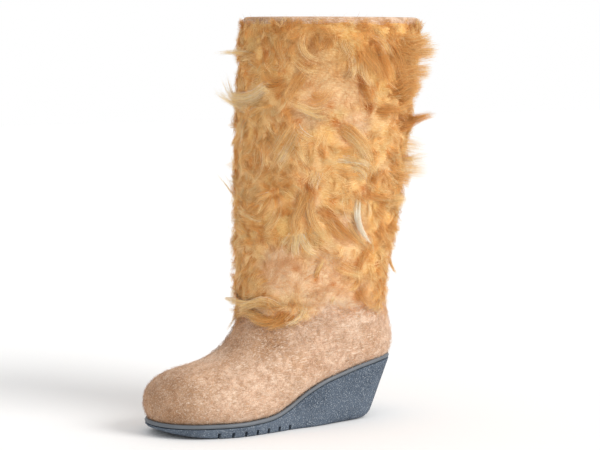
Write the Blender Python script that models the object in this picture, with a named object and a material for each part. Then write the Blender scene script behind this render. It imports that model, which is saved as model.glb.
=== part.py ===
"""A tall felt boot, left foot: a seamless felt body with matted fur round its shaft, on a wedge sole.

Metres, +Z up. The toe points to -Y and the outer side of the foot to +X. The origin is on the
ground under the middle of the sole's length.

The felt body is lofted through sections that stand upright in the forefoot, fan out round the
throat and lie level in the shaft. The welt, the sole's outline and the fur sleeve are all worked
out from the same sections.
"""

import math
from collections import namedtuple

import bmesh
import bpy
import numpy as np

# Driving sizes of the felt body
FOOT_LENGTH = 0.252
BALL_WIDTH = 0.098
BALL_HEIGHT = 0.055
TOE_CAP_LENGTH = 0.033
TOE_TIP = 0.40
FELT_WALL = 0.006
ANKLE_DEPTH = 0.148
ANKLE_WIDTH = 0.105
ANKLE_BACK = 0.009
ANKLE_RISE = 0.070
SHAFT_DEPTH = 0.182
SHAFT_WIDTH = 0.124
SHAFT_LEAN = 0.024
BOOT_HEIGHT = 0.388
COLLAR_ROUNDING = 0.0016

# Driving sizes of the sole, the welt and the insole
HEEL_HEIGHT = 0.0570
FOREFOOT_THICKNESS = 0.0095
TOE_SPRING = 0.006
TOE_BREAK = 0.80
HEEL_UNDERCUT = 0.0235
HEEL_REACH = 0.45
SIDE_TAPER = 0.0035
SOLE_CORNER = 0.0105
SOLE_EDGE = 0.0008
WELT_HEIGHT = 0.0052
SEAT_DEPTH = 0.0008
WELT_OVERHANG = 0.0032
WELT_DEPTH = 0.008
GROOVE_WIDTH = 0.0028
GROOVE_DEPTH = 0.0055
GROOVE_PITCH = 0.0128
GROOVE_COUNT = 7
FIRST_GROOVE = 0.845
HEEL_GROOVE_COUNT = 4
HEEL_GROOVE_START = 0.16
HEEL_GROOVE_MARGIN = 0.012
INSOLE_THICKNESS = 0.004
CLEARANCE = 0.0003

# Driving sizes of the fur
FUR_GAP = 0.0007
FUR_BASE = 0.0016
FUR_MAT = 0.0046
FUR_HEM = 0.106
FUR_HEM_WAVE = 0.003
FUR_TOP_MARGIN = 0.009
FUR_TIERS = 8
TUFTS_IN_TIER = 15
TUFT_LIFT = 0.0055
TUFT_NOTCH = 0.50
TUFT_UNDERCUT = 0.0025

# Mesh steps
AROUND = 30
CAP_STEPS = 5
STEPS_BETWEEN_ROWS = 2
LEG_STEPS = 6

# The seat is the line that the felt stands on, along the foot from the heel (0) to the toe (1).
# rise is the share of the way from the forefoot's thickness (0) to the heel's height (1).
SeatRow = namedtuple("SeatRow", "along rise")
SEAT_ROWS = (
    SeatRow(-0.10, 1.00),
    SeatRow(0.00, 1.00),
    SeatRow(0.07, 0.985),
    SeatRow(0.14, 0.935),
    SeatRow(0.215, 0.86),
    SeatRow(0.29, 0.76),
    SeatRow(0.38, 0.64),
    SeatRow(0.46, 0.455),
    SeatRow(0.53, 0.235),
    SeatRow(0.61, 0.07),
    SeatRow(0.70, 0.015),
    SeatRow(0.80, 0.00),
    SeatRow(0.92, 0.00),
    SeatRow(1.10, 0.01),
)

# Sections of the foot, from the toe cap back to the ankle.
# seat: where the section meets the seat, as a share of the foot's length
# climb: how far it starts up the back of the heel, as a share of the ankle's rise
# tuck: how far it starts ahead of the heel, as a share of the ankle's back
# vamp: where it meets the top line, as a share of the way from the ankle's front to the toe
# crown: height there, as a share of the way from the ball's top to the ankle
# centre: sideways shift of its middle, and half: half its width, as shares of the ball's width
# widest: height of its widest place, as a share of its own length
# low, top: powers of its lower and upper halves, 2 for an ellipse and more for a squarer one
FootRow = namedtuple("FootRow", "seat climb tuck vamp crown centre half widest low top")
FOOT_ROWS = (
    FootRow(0.880, 0.00, 0.0, 0.733, -0.075, -0.050, 0.455, 0.44, 3.4, 2.1),
    FootRow(0.790, 0.00, 0.0, 0.533, -0.010, -0.015, 0.500, 0.43, 3.8, 2.1),
    FootRow(0.700, 0.00, 0.0, 0.393, 0.060, 0.005, 0.495, 0.42, 4.0, 2.1),
    FootRow(0.580, 0.00, 0.0, 0.302, 0.150, 0.015, 0.470, 0.42, 4.2, 2.1),
    FootRow(0.450, 0.00, 0.0, 0.219, 0.250, 0.018, 0.455, 0.42, 4.2, 2.1),
    FootRow(0.320, 0.00, 0.0, 0.154, 0.365, 0.012, 0.450, 0.43, 4.2, 2.1),
    FootRow(0.190, 0.00, 0.0, 0.098, 0.490, 0.006, 0.450, 0.44, 4.0, 2.1),
    FootRow(0.085, 0.00, 0.0, 0.056, 0.610, 0.002, 0.455, 0.45, 3.6, 2.1),
    FootRow(0.000, 0.07, 0.40, 0.029, 0.730, 0.0, 0.465, 0.47, 2.9, 2.1),
    FootRow(0.000, 0.34, -0.20, 0.012, 0.850, 0.0, 0.480, 0.48, 2.4, 2.1),
    FootRow(0.000, 0.68, 0.35, 0.002, 0.950, 0.0, 0.495, 0.49, 2.2, 2.1),
)

# The main tufts of fur. tier: counted down from the collar, place: counted from the back over the
# outer side, short: how far its tip stays above the tier's lowest, as a share of the tier,
# swing: how far its tip leans sideways, as a share of half a tuft, lift: how far its tip stands
# off, as a share of the usual lift.
TuftRow = namedtuple("TuftRow", "tier place short swing lift")
TUFT_ROWS = (
    TuftRow(0, 0, 0.10, -0.5, 3.2),
    TuftRow(0, 1, 0.05, -0.3, 2.4),
    TuftRow(0, 8, 0.05, 0.6, 2.6),
    TuftRow(1, 1, 0.00, -0.4, 2.6),
    TuftRow(1, 7, 0.00, 0.7, 3.0),
    TuftRow(1, 8, 0.00, 0.5, 3.4),
    TuftRow(2, 0, 0.05, -0.6, 3.2),
    TuftRow(2, 5, 0.00, 0.4, 1.8),
    TuftRow(2, 8, 0.05, 0.4, 2.2),
    TuftRow(3, 1, 0.05, -0.4, 2.6),
    TuftRow(3, 4, 0.00, -0.6, 1.8),
    TuftRow(3, 8, 0.05, 0.7, 1.8),
    TuftRow(4, 3, 0.00, 0.5, 1.8),
    TuftRow(4, 8, 0.05, 0.5, 2.0),
    TuftRow(5, 1, 0.05, -0.4, 1.6),
    TuftRow(5, 5, 0.00, 0.3, 1.8),
    TuftRow(6, 3, 0.00, -0.4, 1.6),
    TuftRow(6, 7, 0.00, 0.6, 1.7),
    TuftRow(7, 2, 0.00, -0.3, 1.5),
    TuftRow(7, 6, 0.00, 0.7, 2.2),
)

MATERIALS = {
    "felt": ((0.47, 0.29, 0.19, 1.0), 0.95),
    "fur": ((0.60, 0.34, 0.12, 1.0), 0.85),
    "rubber": ((0.050, 0.062, 0.078, 1.0), 0.72),
    "welt": ((0.062, 0.074, 0.086, 1.0), 0.60),
    "insole": ((0.42, 0.30, 0.22, 1.0), 0.95),
}

# One section: its back and front points in the side view (along, up) and its cross shape
Section = namedtuple("Section", "back front centre half widest low top")


def smooth(x, xs, ys):
    """A smooth curve through a short table, by Catmull-Rom slopes."""
    xs = np.asarray(xs, float)
    ys = np.asarray(ys, float)
    slopes = np.gradient(ys, xs, axis=0)
    x = np.clip(np.asarray(x, float), xs[0], xs[-1])
    i = np.clip(np.searchsorted(xs, x, side="right") - 1, 0, len(xs) - 2)
    width = xs[i + 1] - xs[i]
    t = (x - xs[i]) / width
    if ys.ndim > 1:
        t = t[..., None]
        width = width[..., None]
    start = ys[i] * (2 * t**3 - 3 * t**2 + 1) + slopes[i] * width * (t**3 - 2 * t**2 + t)
    end = ys[i + 1] * (3 * t**2 - 2 * t**3) + slopes[i + 1] * width * (t**3 - t**2)
    return start + end


def wedge_top(along):
    """Height of the wedge's top at a distance from the heel."""
    rise = smooth(
        np.asarray(along) / FOOT_LENGTH,
        [row.along for row in SEAT_ROWS],
        [row.rise for row in SEAT_ROWS],
    )
    return FOREFOOT_THICKNESS + rise * (HEEL_HEIGHT - FOREFOOT_THICKNESS)


def seat(along):
    """Height of the felt's underside, which is pressed a little way into the wedge."""
    return wedge_top(along) - SEAT_DEPTH


def ankle_height():
    return float(seat(0.0)) + ANKLE_RISE


def foot_section(row):
    ankle_front = ANKLE_BACK + ANKLE_DEPTH
    back_along = row.seat * FOOT_LENGTH + row.tuck * ANKLE_BACK
    front_along = ankle_front + row.vamp * (FOOT_LENGTH - ankle_front)
    ball_top = FOREFOOT_THICKNESS + BALL_HEIGHT
    return Section(
        (back_along, float(seat(back_along)) + row.climb * ANKLE_RISE),
        (front_along, ball_top + row.crown * (ankle_height() - ball_top)),
        row.centre * BALL_WIDTH,
        row.half * BALL_WIDTH,
        row.widest,
        row.low,
        row.top,
    )


def leg_section(up):
    """A level section of the shaft, up from the ankle (0) to the collar (1)."""
    grow = up * (1.6 - 0.6 * up)
    depth = ANKLE_DEPTH + (SHAFT_DEPTH - ANKLE_DEPTH) * grow
    width = ANKLE_WIDTH + (SHAFT_WIDTH - ANKLE_WIDTH) * grow
    middle = ANKLE_BACK + ANKLE_DEPTH / 2 - SHAFT_LEAN * up
    height = ankle_height() + up * (BOOT_HEIGHT - ankle_height())
    return Section(
        (middle - depth / 2, height), (middle + depth / 2, height), 0.0, width / 2, 0.5, 2.1, 2.1
    )


def cap_sections(first, second):
    """The toe cap closes in front of the first foot section like the end of an egg.

    It goes on at the slope that the first two sections give, which fades out towards the tip.
    """
    tip_up = first.back[1] + TOE_TIP * (first.front[1] - first.back[1])
    step_ahead = first.back[0] - second.back[0]
    narrowing = (first.half - second.half) / step_ahead
    sinking = (first.front[1] - second.front[1]) / (first.front[0] - second.front[0])
    turning = (first.centre - second.centre) / step_ahead
    for step in range(1, CAP_STEPS + 1):
        angle = math.pi / 2 * (1 - (step - 0.5) / CAP_STEPS)
        ahead = TOE_CAP_LENGTH * math.sin(angle)
        shrink = math.cos(angle)
        low = tip_up - (tip_up - first.back[1]) * shrink**0.25
        high = tip_up + (first.front[1] - tip_up) * shrink**0.9 + sinking * ahead * shrink
        yield Section(
            (first.back[0] + ahead, low),
            (first.front[0] + ahead, high),
            first.centre + turning * ahead,
            (first.half + narrowing * ahead) * shrink**0.9,
            first.widest,
            2.1 + (first.low - 2.1) * shrink,
            first.top,
        )


def all_sections(steps=STEPS_BETWEEN_ROWS, leg_steps=LEG_STEPS):
    """Every section from the toe to the collar, with steps between the rows of the table."""
    foot = [foot_section(row) for row in FOOT_ROWS]
    ankle = [leg_section(up) for up in np.linspace(0, 1, leg_steps + 1)]
    rows = foot + ankle[:2]
    flat = np.array([[*s.back, *s.front, *s[2:]] for s in rows])
    between = np.linspace(0, len(foot), len(foot) * steps + 1)
    smoothed = smooth(between, np.arange(len(rows)), flat)
    body = [Section((v[0], v[1]), (v[2], v[3]), *v[4:]) for v in smoothed]
    return list(cap_sections(body[0], body[1])) + body + ankle[1:]


def section_loop(section, count=AROUND):
    """Points round a section, from its back over the outer side to its front and round again."""
    angle = np.linspace(0, 2 * math.pi, count, endpoint=False)
    height = -np.cos(angle)
    side = np.sin(angle)
    power = np.where(height < 0, 2 / section.low, 2 / section.top)
    reach = np.where(height < 0, section.widest, 1 - section.widest)
    share = section.widest + np.sign(height) * np.abs(height) ** power * reach
    across = section.centre + np.sign(side) * np.abs(side) ** power * section.half
    back = np.array(section.back)
    front = np.array(section.front)
    line = back + share[:, None] * (front - back)
    middle = FOOT_LENGTH / 2
    return np.column_stack([across, middle - line[:, 0], line[:, 1]])


def body_grid():
    """(rows of points from the toe to the collar, the point of the toe)"""
    sections = all_sections()
    grid = np.array([section_loop(s) for s in sections])
    first = grid[0]
    tip = first.mean(axis=0)
    tip[1] = first[:, 1].min() - 0.0006
    return grid, tip


def grid_normals(grid, tip):
    """Outward unit normals of the grid."""
    ahead = np.concatenate([np.broadcast_to(tip, (1, *grid.shape[1:])), grid[:-1]])
    behind = np.concatenate([grid[1:], 2 * grid[-1:] - grid[-2:-1]])
    along = behind - ahead
    around = np.roll(grid, -1, axis=1) - np.roll(grid, 1, axis=1)
    normals = np.cross(along, around)
    return normals / np.linalg.norm(normals, axis=2, keepdims=True)


def moved_out(distance):
    """The body's grid and tip, moved out along its normals by a distance."""
    grid, tip = body_grid()
    moved = grid + distance * grid_normals(grid, tip)
    return moved, tip + np.array([0.0, -distance, 0.0])


def strip_faces(rows, count, start=0):
    """Quads between rows of points that run round a tube."""
    faces = []
    for i in range(rows - 1):
        for j in range(count):
            k = (j + 1) % count
            a = start + i * count
            b = a + count
            faces.append((a + j, a + k, b + k, b + j))
    return faces


def new_object(name, points, faces, material, hidden=False):
    mesh = bpy.data.meshes.new(name)
    mesh.from_pydata([tuple(map(float, p)) for p in points], [], faces)
    made = bmesh.new()
    made.from_mesh(mesh)
    bmesh.ops.recalc_face_normals(made, faces=made.faces)
    made.to_mesh(mesh)
    made.free()
    mesh.shade_smooth()
    obj = bpy.data.objects.new(name, mesh)
    bpy.context.scene.collection.objects.link(obj)
    if hidden:
        obj.hide_render = True
        obj.display_type = "WIRE"
    else:
        obj.data.set_sharp_from_angle(angle=math.radians(40))
        obj.data.materials.append(surface(material))
    return obj


def surface(name):
    material = bpy.data.materials.get(name)
    if material is None:
        colour, roughness = MATERIALS[name]
        material = bpy.data.materials.new(name)
        material.use_nodes = True
        shader = material.node_tree.nodes["Principled BSDF"]
        shader.inputs["Base Color"].default_value = colour
        shader.inputs["Roughness"].default_value = roughness
        shader.inputs["Metallic"].default_value = 0.0
    return material


def add_boolean(obj, operation, other):
    modifier = obj.modifiers.new(operation.lower(), "BOOLEAN")
    modifier.operation = operation
    modifier.solver = "EXACT"
    modifier.object = other


def closed_body(name, distance, levels):
    """The body's outer form moved out by a distance, filled, up to a number of rows."""
    grid, tip = moved_out(distance)
    grid = grid[:levels]
    rows, count = grid.shape[:2]
    points = [*grid.reshape(-1, 3), tip, grid[-1].mean(axis=0)]
    tip_index = rows * count
    faces = strip_faces(rows, count)
    faces += [(tip_index, (j + 1) % count, j) for j in range(count)]
    last = (rows - 1) * count
    faces += [(tip_index + 1, last + j, last + (j + 1) % count) for j in range(count)]
    return new_object(name, points, faces, "felt", hidden=True)


def make_upper():
    """One seamless felt wall, closed under the foot and open at the collar."""
    outer, outer_tip = moved_out(0.0)
    inner, inner_tip = moved_out(-FELT_WALL)
    rim_out, _ = moved_out(-COLLAR_ROUNDING)
    rim_in, _ = moved_out(COLLAR_ROUNDING - FELT_WALL)
    top = BOOT_HEIGHT
    outer[-1, :, 2] = top - COLLAR_ROUNDING
    inner[-1, :, 2] = top - COLLAR_ROUNDING
    rim_out[-1, :, 2] = top
    rim_in[-1, :, 2] = top
    wall = np.concatenate([outer, rim_out[-1:], rim_in[-1:], inner[::-1]])
    rows, count = wall.shape[:2]
    faces = strip_faces(rows, count)
    outer_pole = rows * count
    inner_pole = outer_pole + 1
    faces += [(outer_pole, (j + 1) % count, j) for j in range(count)]
    last = (rows - 1) * count
    faces += [(inner_pole, last + j, last + (j + 1) % count) for j in range(count)]
    return new_object("upper", [*wall.reshape(-1, 3), outer_tip, inner_tip], faces, "felt")


def feather_pairs(height, distance=0.0, stations=38):
    """Where the felt stands at a height over its seat: (outer points, inner points) in plan.

    Each section near the sole gives one point on either side, from the toe to the heel. They are
    spread evenly, and the first and last are where the two sides meet.
    """
    sides = []
    sections = all_sections(steps=12, leg_steps=2)
    for section in sections:
        loop = section_loop(section, 241)
        level = loop[:, 2] - seat(FOOT_LENGTH / 2 - loop[:, 1]) - height
        found = []
        for walk in (range(0, 120), range(240, 120, -1)):
            steps = list(walk)
            for a, b in zip(steps, steps[1:]):
                if level[a] <= 0 < level[b]:
                    share = level[a] / (level[a] - level[b])
                    found.append(loop[a, :2] + share * (loop[b, :2] - loop[a, :2]))
                    break
        if len(found) == 2:
            sides.append(found)
    sides = np.array(sides)
    toe = sides[0].mean(axis=0)
    heel = sides[-1].mean(axis=0)
    toe[1] = sides[:, :, 1].min() - 0.0002
    heel[1] = sides[:, :, 1].max() + 0.0002
    outer = np.concatenate([[toe], sides[:, 0], [heel]])
    inner = np.concatenate([[toe], sides[:, 1], [heel]])
    steps = np.linalg.norm(np.diff(outer, axis=0), axis=1)
    steps += np.linalg.norm(np.diff(inner, axis=0), axis=1)
    length = np.concatenate([[0], np.cumsum(steps)])
    even = np.linspace(0, length[-1], stations)
    pick = [np.column_stack([np.interp(even, length, s[:, k]) for k in (0, 1)])
            for s in (outer, inner)]
    if distance == 0.0:
        return pick
    heelward = np.clip(1 - along_of(closed_loop(*pick)) / (0.5 * FOOT_LENGTH), 0, 1)
    return moved_loop(*pick, distance * (1 - 0.6 * heelward))


def welt_outline():
    """The welt's outer edge, where the felt meets its top, moved out by its overhang."""
    return feather_pairs(WELT_HEIGHT + SEAT_DEPTH, WELT_OVERHANG)


def closed_loop(outer, inner):
    """One closed outline from its two sides, which share their ends."""
    return np.concatenate([outer, inner[-2:0:-1]])


def loop_normals(loop):
    along = np.roll(loop, -1, axis=0) - np.roll(loop, 1, axis=0)
    normals = np.column_stack([-along[:, 1], along[:, 0]])
    normals /= np.linalg.norm(normals, axis=1)[:, None]
    for _ in range(2):
        normals = normals + 0.5 * (np.roll(normals, 1, axis=0) + np.roll(normals, -1, axis=0))
        normals /= np.linalg.norm(normals, axis=1)[:, None]
    outward = np.sign(((loop - loop.mean(axis=0)) * normals).sum())
    return normals * outward


def moved_loop(outer, inner, distance):
    """Both sides of an outline moved outwards, by one distance or by one for each point."""
    loop = closed_loop(outer, inner)
    loop = loop + loop_normals(loop) * np.reshape(distance, (-1, 1))
    count = len(outer)
    return loop[:count], np.concatenate([loop[:1], loop[: count - 2 : -1]])


def along_of(points):
    return FOOT_LENGTH / 2 - points[:, 1]


def stacked_solid(levels):
    """Points and faces of a solid whose outlines lie over each other, flat across top and bottom.

    Each level is (outer side, inner side, heights of the closed loop).
    """
    count = len(levels[0][0])
    around = 2 * count - 2
    points = []
    for outer, inner, heights in levels:
        points += [(*p, h) for p, h in zip(closed_loop(outer, inner), heights)]
    faces = strip_faces(len(levels), around)

    def across(start, turn):
        made = []
        for k in range(count - 1):
            left = (start + k, start + k + 1)
            right = (start + (around - k) % around, start + (around - k - 1) % around)
            ring = [left[0], left[1], right[1], right[0]]
            ring = [v for i, v in enumerate(ring) if v not in ring[:i]]
            made.append(tuple(ring if turn else ring[::-1]))
        return made

    faces += across(0, True)
    faces += across((len(levels) - 1) * around, False)
    return points, faces


def sole_floor(along):
    """Height of the sole's underside, flat from the heel to where the toe spring begins."""
    start = TOE_BREAK * FOOT_LENGTH
    share = np.clip((np.asarray(along) - start) / (FOOT_LENGTH - start), 0, None)
    return TOE_SPRING * share**2


def tucked(sides, share):
    """Both sides of an outline, with the heel drawn forward by a share of its undercut."""
    moved = []
    for side in sides:
        side = side.copy()
        near_heel = np.clip(1 - along_of(side) / (HEEL_REACH * FOOT_LENGTH), 0, 1)
        side[:, 1] -= share * HEEL_UNDERCUT * near_heel**1.6
        moved.append(side)
    return moved


def level_at(outline, tuck, inset, up):
    """One level of the sole, at a height that is worked out from how tall the sole is there."""
    outer, inner = moved_loop(*tucked(outline, tuck), -inset)
    where = along_of(closed_loop(outer, inner))
    low = sole_floor(where)
    return outer, inner, low + up(wedge_top(where) - low)


def make_sole():
    """The wedge, thin under the forefoot, with its back cut in towards the floor."""
    outline = welt_outline()
    loop = closed_loop(*outline)
    near_heel = np.clip(1 - along_of(loop) / (HEEL_REACH * FOOT_LENGTH), 0, 1)
    taper = SIDE_TAPER * (0.35 + 0.65 * near_heel)
    corner = SOLE_CORNER * (0.30 + 0.70 * near_heel)
    levels = [
        level_at(outline, 1.0, taper + corner, lambda tall: 0 * tall),
        level_at(outline, 1.0, taper + 0.3 * corner, lambda tall: np.minimum(0.3 * corner, tall)),
        level_at(outline, 0.85, 0.9 * taper, lambda tall: np.minimum(corner, 0.6 * tall)),
        level_at(outline, 0.0, 0.0, lambda tall: tall - SOLE_EDGE),
        level_at(outline, 0.0, SOLE_EDGE, lambda tall: tall),
    ]
    sole = new_object("wedge_sole", *stacked_solid(levels), "rubber")
    add_boolean(sole, "DIFFERENCE", closed_body("felt_bed", CLEARANCE, foot_levels()))
    add_boolean(sole, "DIFFERENCE", groove_cutter())
    return sole


def box_points(low, high):
    return [
        (x, y, z) for z in (low[2], high[2]) for x, y in
        ((low[0], low[1]), (high[0], low[1]), (high[0], high[1]), (low[0], high[1]))
    ]


BOX_FACES = ((0, 3, 2, 1), (4, 5, 6, 7), (0, 1, 5, 4), (1, 2, 6, 5), (2, 3, 7, 6), (3, 0, 4, 7))


def groove_cutter():
    """Tread grooves: open at both sides under the forefoot, closed ones under the heel."""
    points = []
    faces = []

    def add(middle, half_width, floor):
        start = len(points)
        low = (-half_width, middle - GROOVE_WIDTH / 2, floor - 0.02)
        high = (half_width, middle + GROOVE_WIDTH / 2, floor + GROOVE_DEPTH)
        points.extend(box_points(low, high))
        faces.extend(tuple(start + v for v in face) for face in BOX_FACES)

    for k in range(GROOVE_COUNT):
        along = FIRST_GROOVE * FOOT_LENGTH - k * GROOVE_PITCH
        add(FOOT_LENGTH / 2 - along, BALL_WIDTH, float(sole_floor(along)))
    heel_half = 0.33 * BALL_WIDTH - HEEL_GROOVE_MARGIN
    for k in range(HEEL_GROOVE_COUNT):
        along = HEEL_GROOVE_START * FOOT_LENGTH + k * GROOVE_PITCH
        add(FOOT_LENGTH / 2 - along, heel_half, 0.0)
    return new_object("groove_cutter", points, faces, "rubber", hidden=True)


def make_welt():
    """The smooth rubber strip that wraps the felt's lower edge on top of the wedge."""
    outline = welt_outline()
    inside = moved_loop(*outline, -WELT_DEPTH)
    edge = 0.6 * SOLE_EDGE

    def ring(sides, lift):
        loop = closed_loop(*sides)
        return [(*p, h + lift) for p, h in zip(loop, wedge_top(along_of(loop)))]

    outer_low = ring(moved_loop(*outline, -edge), CLEARANCE)
    outer_mid = ring(outline, CLEARANCE + edge)
    outer_high = ring(outline, WELT_HEIGHT - edge)
    outer_top = ring(moved_loop(*outline, -edge), WELT_HEIGHT)
    inner_top = ring(inside, WELT_HEIGHT)
    inner_low = ring(inside, CLEARANCE)
    rows = [outer_low, outer_mid, outer_high, outer_top, inner_top, inner_low, outer_low]
    count = len(outer_low)
    points = [p for row in rows[:-1] for p in row]
    faces = []
    for a, b, c, d in strip_faces(len(rows), count):
        faces.append(tuple(v % (count * (len(rows) - 1)) for v in (a, b, c, d)))
    welt = new_object("welt", points, faces, "welt")
    add_boolean(welt, "DIFFERENCE", closed_body("felt_form", CLEARANCE, foot_levels()))
    return welt


def foot_levels():
    """How many rows of the grid lie below the shaft."""
    return CAP_STEPS + len(FOOT_ROWS) * STEPS_BETWEEN_ROWS + 1


def make_insole():
    """A loose felt insole that fills the bottom of the inside."""
    gap = FELT_WALL + CLEARANCE
    outer, inner = feather_pairs(FELT_WALL + INSOLE_THICKNESS, 0.004, 24)

    def level(lift):
        loop = closed_loop(outer, inner)
        return outer, inner, seat(along_of(loop)) + lift

    slab = stacked_solid([level(gap), level(gap + INSOLE_THICKNESS)])
    insole = new_object("insole", *slab, "insole")
    cavity = closed_body("cavity_form", -gap, foot_levels())
    add_boolean(insole, "INTERSECT", cavity)
    return insole


def noise(seed):
    """A repeatable number from 0 to 1."""
    return (math.sin(seed * 12.9898 + 4.1) * 43758.5453) % 1.0


def hem_height(turn):
    """Height of the fur's lower edge: turn runs from the back over the outer side and round."""
    angle = 2 * math.pi * turn
    return FUR_HEM + FUR_HEM_WAVE * (math.sin(5 * angle) + 0.6 * math.sin(11 * angle + 1.0))


def column_at(column, height):
    """The point of one column of the grid at a height."""
    start = int(np.argmin(column[: len(column) // 2, 2]))
    rising = column[start:]
    return np.array([np.interp(height, rising[:, 2], rising[:, k]) for k in (0, 1, 2)])


def fur_rows(distance):
    """Rows of the grid that the fur covers, from its hem to below the collar."""
    grid, _ = moved_out(distance)
    highest_hem = FUR_HEM + 2 * FUR_HEM_WAVE
    top = BOOT_HEIGHT - FUR_TOP_MARGIN
    rows = [row for row in grid if row[:, 2].min() > highest_hem and row[:, 2].max() < top]
    hem = [column_at(grid[:, j], hem_height(j / AROUND)) for j in range(AROUND)]
    edge = [column_at(grid[:, j], top) for j in range(AROUND)]
    return np.array([hem, *rows, edge])


def shaft_point(grid, turn, height):
    """A point of the shaft, the direction that runs round it there, and the way outwards."""
    position = (turn % 1.0) * AROUND
    low = int(position) % AROUND
    share = position - int(position)
    near = grid[:, low]
    far = grid[:, (low + 1) % AROUND]
    start, end = column_at(near, height), column_at(far, height)
    point = start + share * (end - start)
    round_it = (end - start) / np.linalg.norm(end - start)
    below = column_at(near, height - FUR_MAT)
    below = below + share * (column_at(far, height - FUR_MAT) - below)
    outward = np.cross(point - below, round_it)
    return point, round_it, outward / np.linalg.norm(outward)


def tier_tufts(tier):
    """The tufts of one tier: the main ones as listed, and the rest varied round the usual size."""
    listed = {row.place: row for row in TUFT_ROWS if row.tier == tier}
    for place in range(TUFTS_IN_TIER):
        seed = tier * TUFTS_IN_TIER + place
        usual = TuftRow(
            tier,
            place,
            0.35 * noise(seed),
            1.2 * (noise(seed + 101) - 0.5),
            0.5 + 0.9 * noise(seed + 202),
        )
        yield listed.get(place, usual)


def tuft_columns(tier):
    """(turn, turn of the tip, share short, offset) for the columns of one tier.

    A tuft takes four columns: the notch before it, its two shoulders and its tip between them.
    """
    for tuft in tier_tufts(tier):
        for step, out in ((0, 0.0), (1, 0.6), (2, 1.0), (3, 0.6)):
            turn = (4 * tuft.place + step + 2 * (tier % 2)) / (4 * TUFTS_IN_TIER)
            lean = 1.5 * out * tuft.swing / (4 * TUFTS_IN_TIER)
            short = tuft.short + (TUFT_NOTCH - tuft.short) * (1 - out) ** 0.8
            offset = FUR_MAT * (0.7 + 0.3 * out) + TUFT_LIFT * tuft.lift * out
            yield turn, turn + lean, short, offset


def fur_tier(grid, tier):
    """The rows of one tier of tufts, from where it starts down and out to its tips and under."""
    top = BOOT_HEIGHT - FUR_TOP_MARGIN
    columns = list(tuft_columns(tier))
    if tier % 2:
        columns = columns[-2:] + columns[:-2]
    rows = [[], [], [], []]
    for turn, tip_turn, short, offset in columns:
        tall = (top - hem_height(tip_turn)) / FUR_TIERS
        start = top - tier * tall
        tip = start - tall * (1 - short)
        steps = (
            (turn, start - 0.002 * (tier > 0), FUR_BASE),
            (0.5 * (turn + tip_turn), 0.5 * (start + tip), FUR_BASE + 0.55 * (offset - FUR_BASE)),
            (tip_turn, tip, offset),
            (tip_turn, tip + TUFT_UNDERCUT, FUR_BASE),
        )
        for row, (where, height, out) in zip(rows, steps):
            point, _, outward = shaft_point(grid, where, height)
            row.append(point + out * outward)
    return rows


def make_fur():
    """The coat of fur felted round the shaft, in tiers of tufts that overlap like shingles."""
    grid, _ = moved_out(FUR_GAP)
    outside = [row for tier in range(FUR_TIERS) for row in fur_tier(grid, tier)][:-1]
    inside = fur_rows(FUR_GAP)
    wide = len(outside[0])
    points = [p for row in [*outside, *inside] for p in row]
    faces = strip_faces(len(outside), wide)
    first_inside = len(outside) * wide
    faces += strip_faces(len(inside), AROUND, first_inside)

    def rim(outer_start, inner_start):
        for j in range(AROUND):
            a, b, c = (outer_start + (2 * j + k) % wide for k in range(3))
            d, e = inner_start + j, inner_start + (j + 1) % AROUND
            faces.extend(((a, b, d), (b, e, d), (b, c, e)))

    rim(0, first_inside + (len(inside) - 1) * AROUND)
    rim(first_inside - wide, first_inside)
    return new_object("fur", points, faces, "fur")


def main():
    for obj in list(bpy.data.objects):
        bpy.data.objects.remove(obj, do_unlink=True)
    make_upper()
    make_sole()
    make_welt()
    make_insole()
    make_fur()


main()
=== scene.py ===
import math
from collections import namedtuple

import bpy
import numpy as np
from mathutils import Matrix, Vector


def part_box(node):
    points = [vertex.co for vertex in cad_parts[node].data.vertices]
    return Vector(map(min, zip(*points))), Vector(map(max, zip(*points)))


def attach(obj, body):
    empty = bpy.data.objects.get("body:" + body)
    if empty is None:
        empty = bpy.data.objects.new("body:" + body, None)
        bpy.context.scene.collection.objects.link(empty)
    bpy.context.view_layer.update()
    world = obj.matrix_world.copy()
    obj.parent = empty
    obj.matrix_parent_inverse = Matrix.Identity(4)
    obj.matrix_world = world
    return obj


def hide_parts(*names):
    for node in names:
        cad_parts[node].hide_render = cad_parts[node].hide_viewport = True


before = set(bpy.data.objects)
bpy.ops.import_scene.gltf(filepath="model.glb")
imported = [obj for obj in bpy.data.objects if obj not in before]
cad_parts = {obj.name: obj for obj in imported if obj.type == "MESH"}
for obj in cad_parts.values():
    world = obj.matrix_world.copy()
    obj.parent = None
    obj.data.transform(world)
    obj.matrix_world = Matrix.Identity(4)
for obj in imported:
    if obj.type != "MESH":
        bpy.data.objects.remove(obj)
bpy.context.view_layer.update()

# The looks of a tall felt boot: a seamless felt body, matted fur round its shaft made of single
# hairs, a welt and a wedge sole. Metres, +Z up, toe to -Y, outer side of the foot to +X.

# Sizes of the felt body, as in the solids
FOOT_LENGTH = 0.252
BALL_WIDTH = 0.098
BALL_HEIGHT = 0.055
TOE_CAP_LENGTH = 0.033
TOE_TIP = 0.40
FELT_WALL = 0.006
ANKLE_DEPTH = 0.148
ANKLE_WIDTH = 0.105
ANKLE_BACK = 0.009
ANKLE_RISE = 0.070
SHAFT_DEPTH = 0.182
SHAFT_WIDTH = 0.124
SHAFT_LEAN = 0.024
BOOT_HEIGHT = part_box("upper")[1][2]
COLLAR_ROUNDING = 0.0022

# Bulges of hand-pressed felt, as (size, height, seed of the noise), and its waves elsewhere
FELT_BULGES = ((0.034, 0.0008, 3), (0.012, 0.00035, 5), (0.0045, 0.00012, 7))
FELT_WAVE = 0.0004

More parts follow.
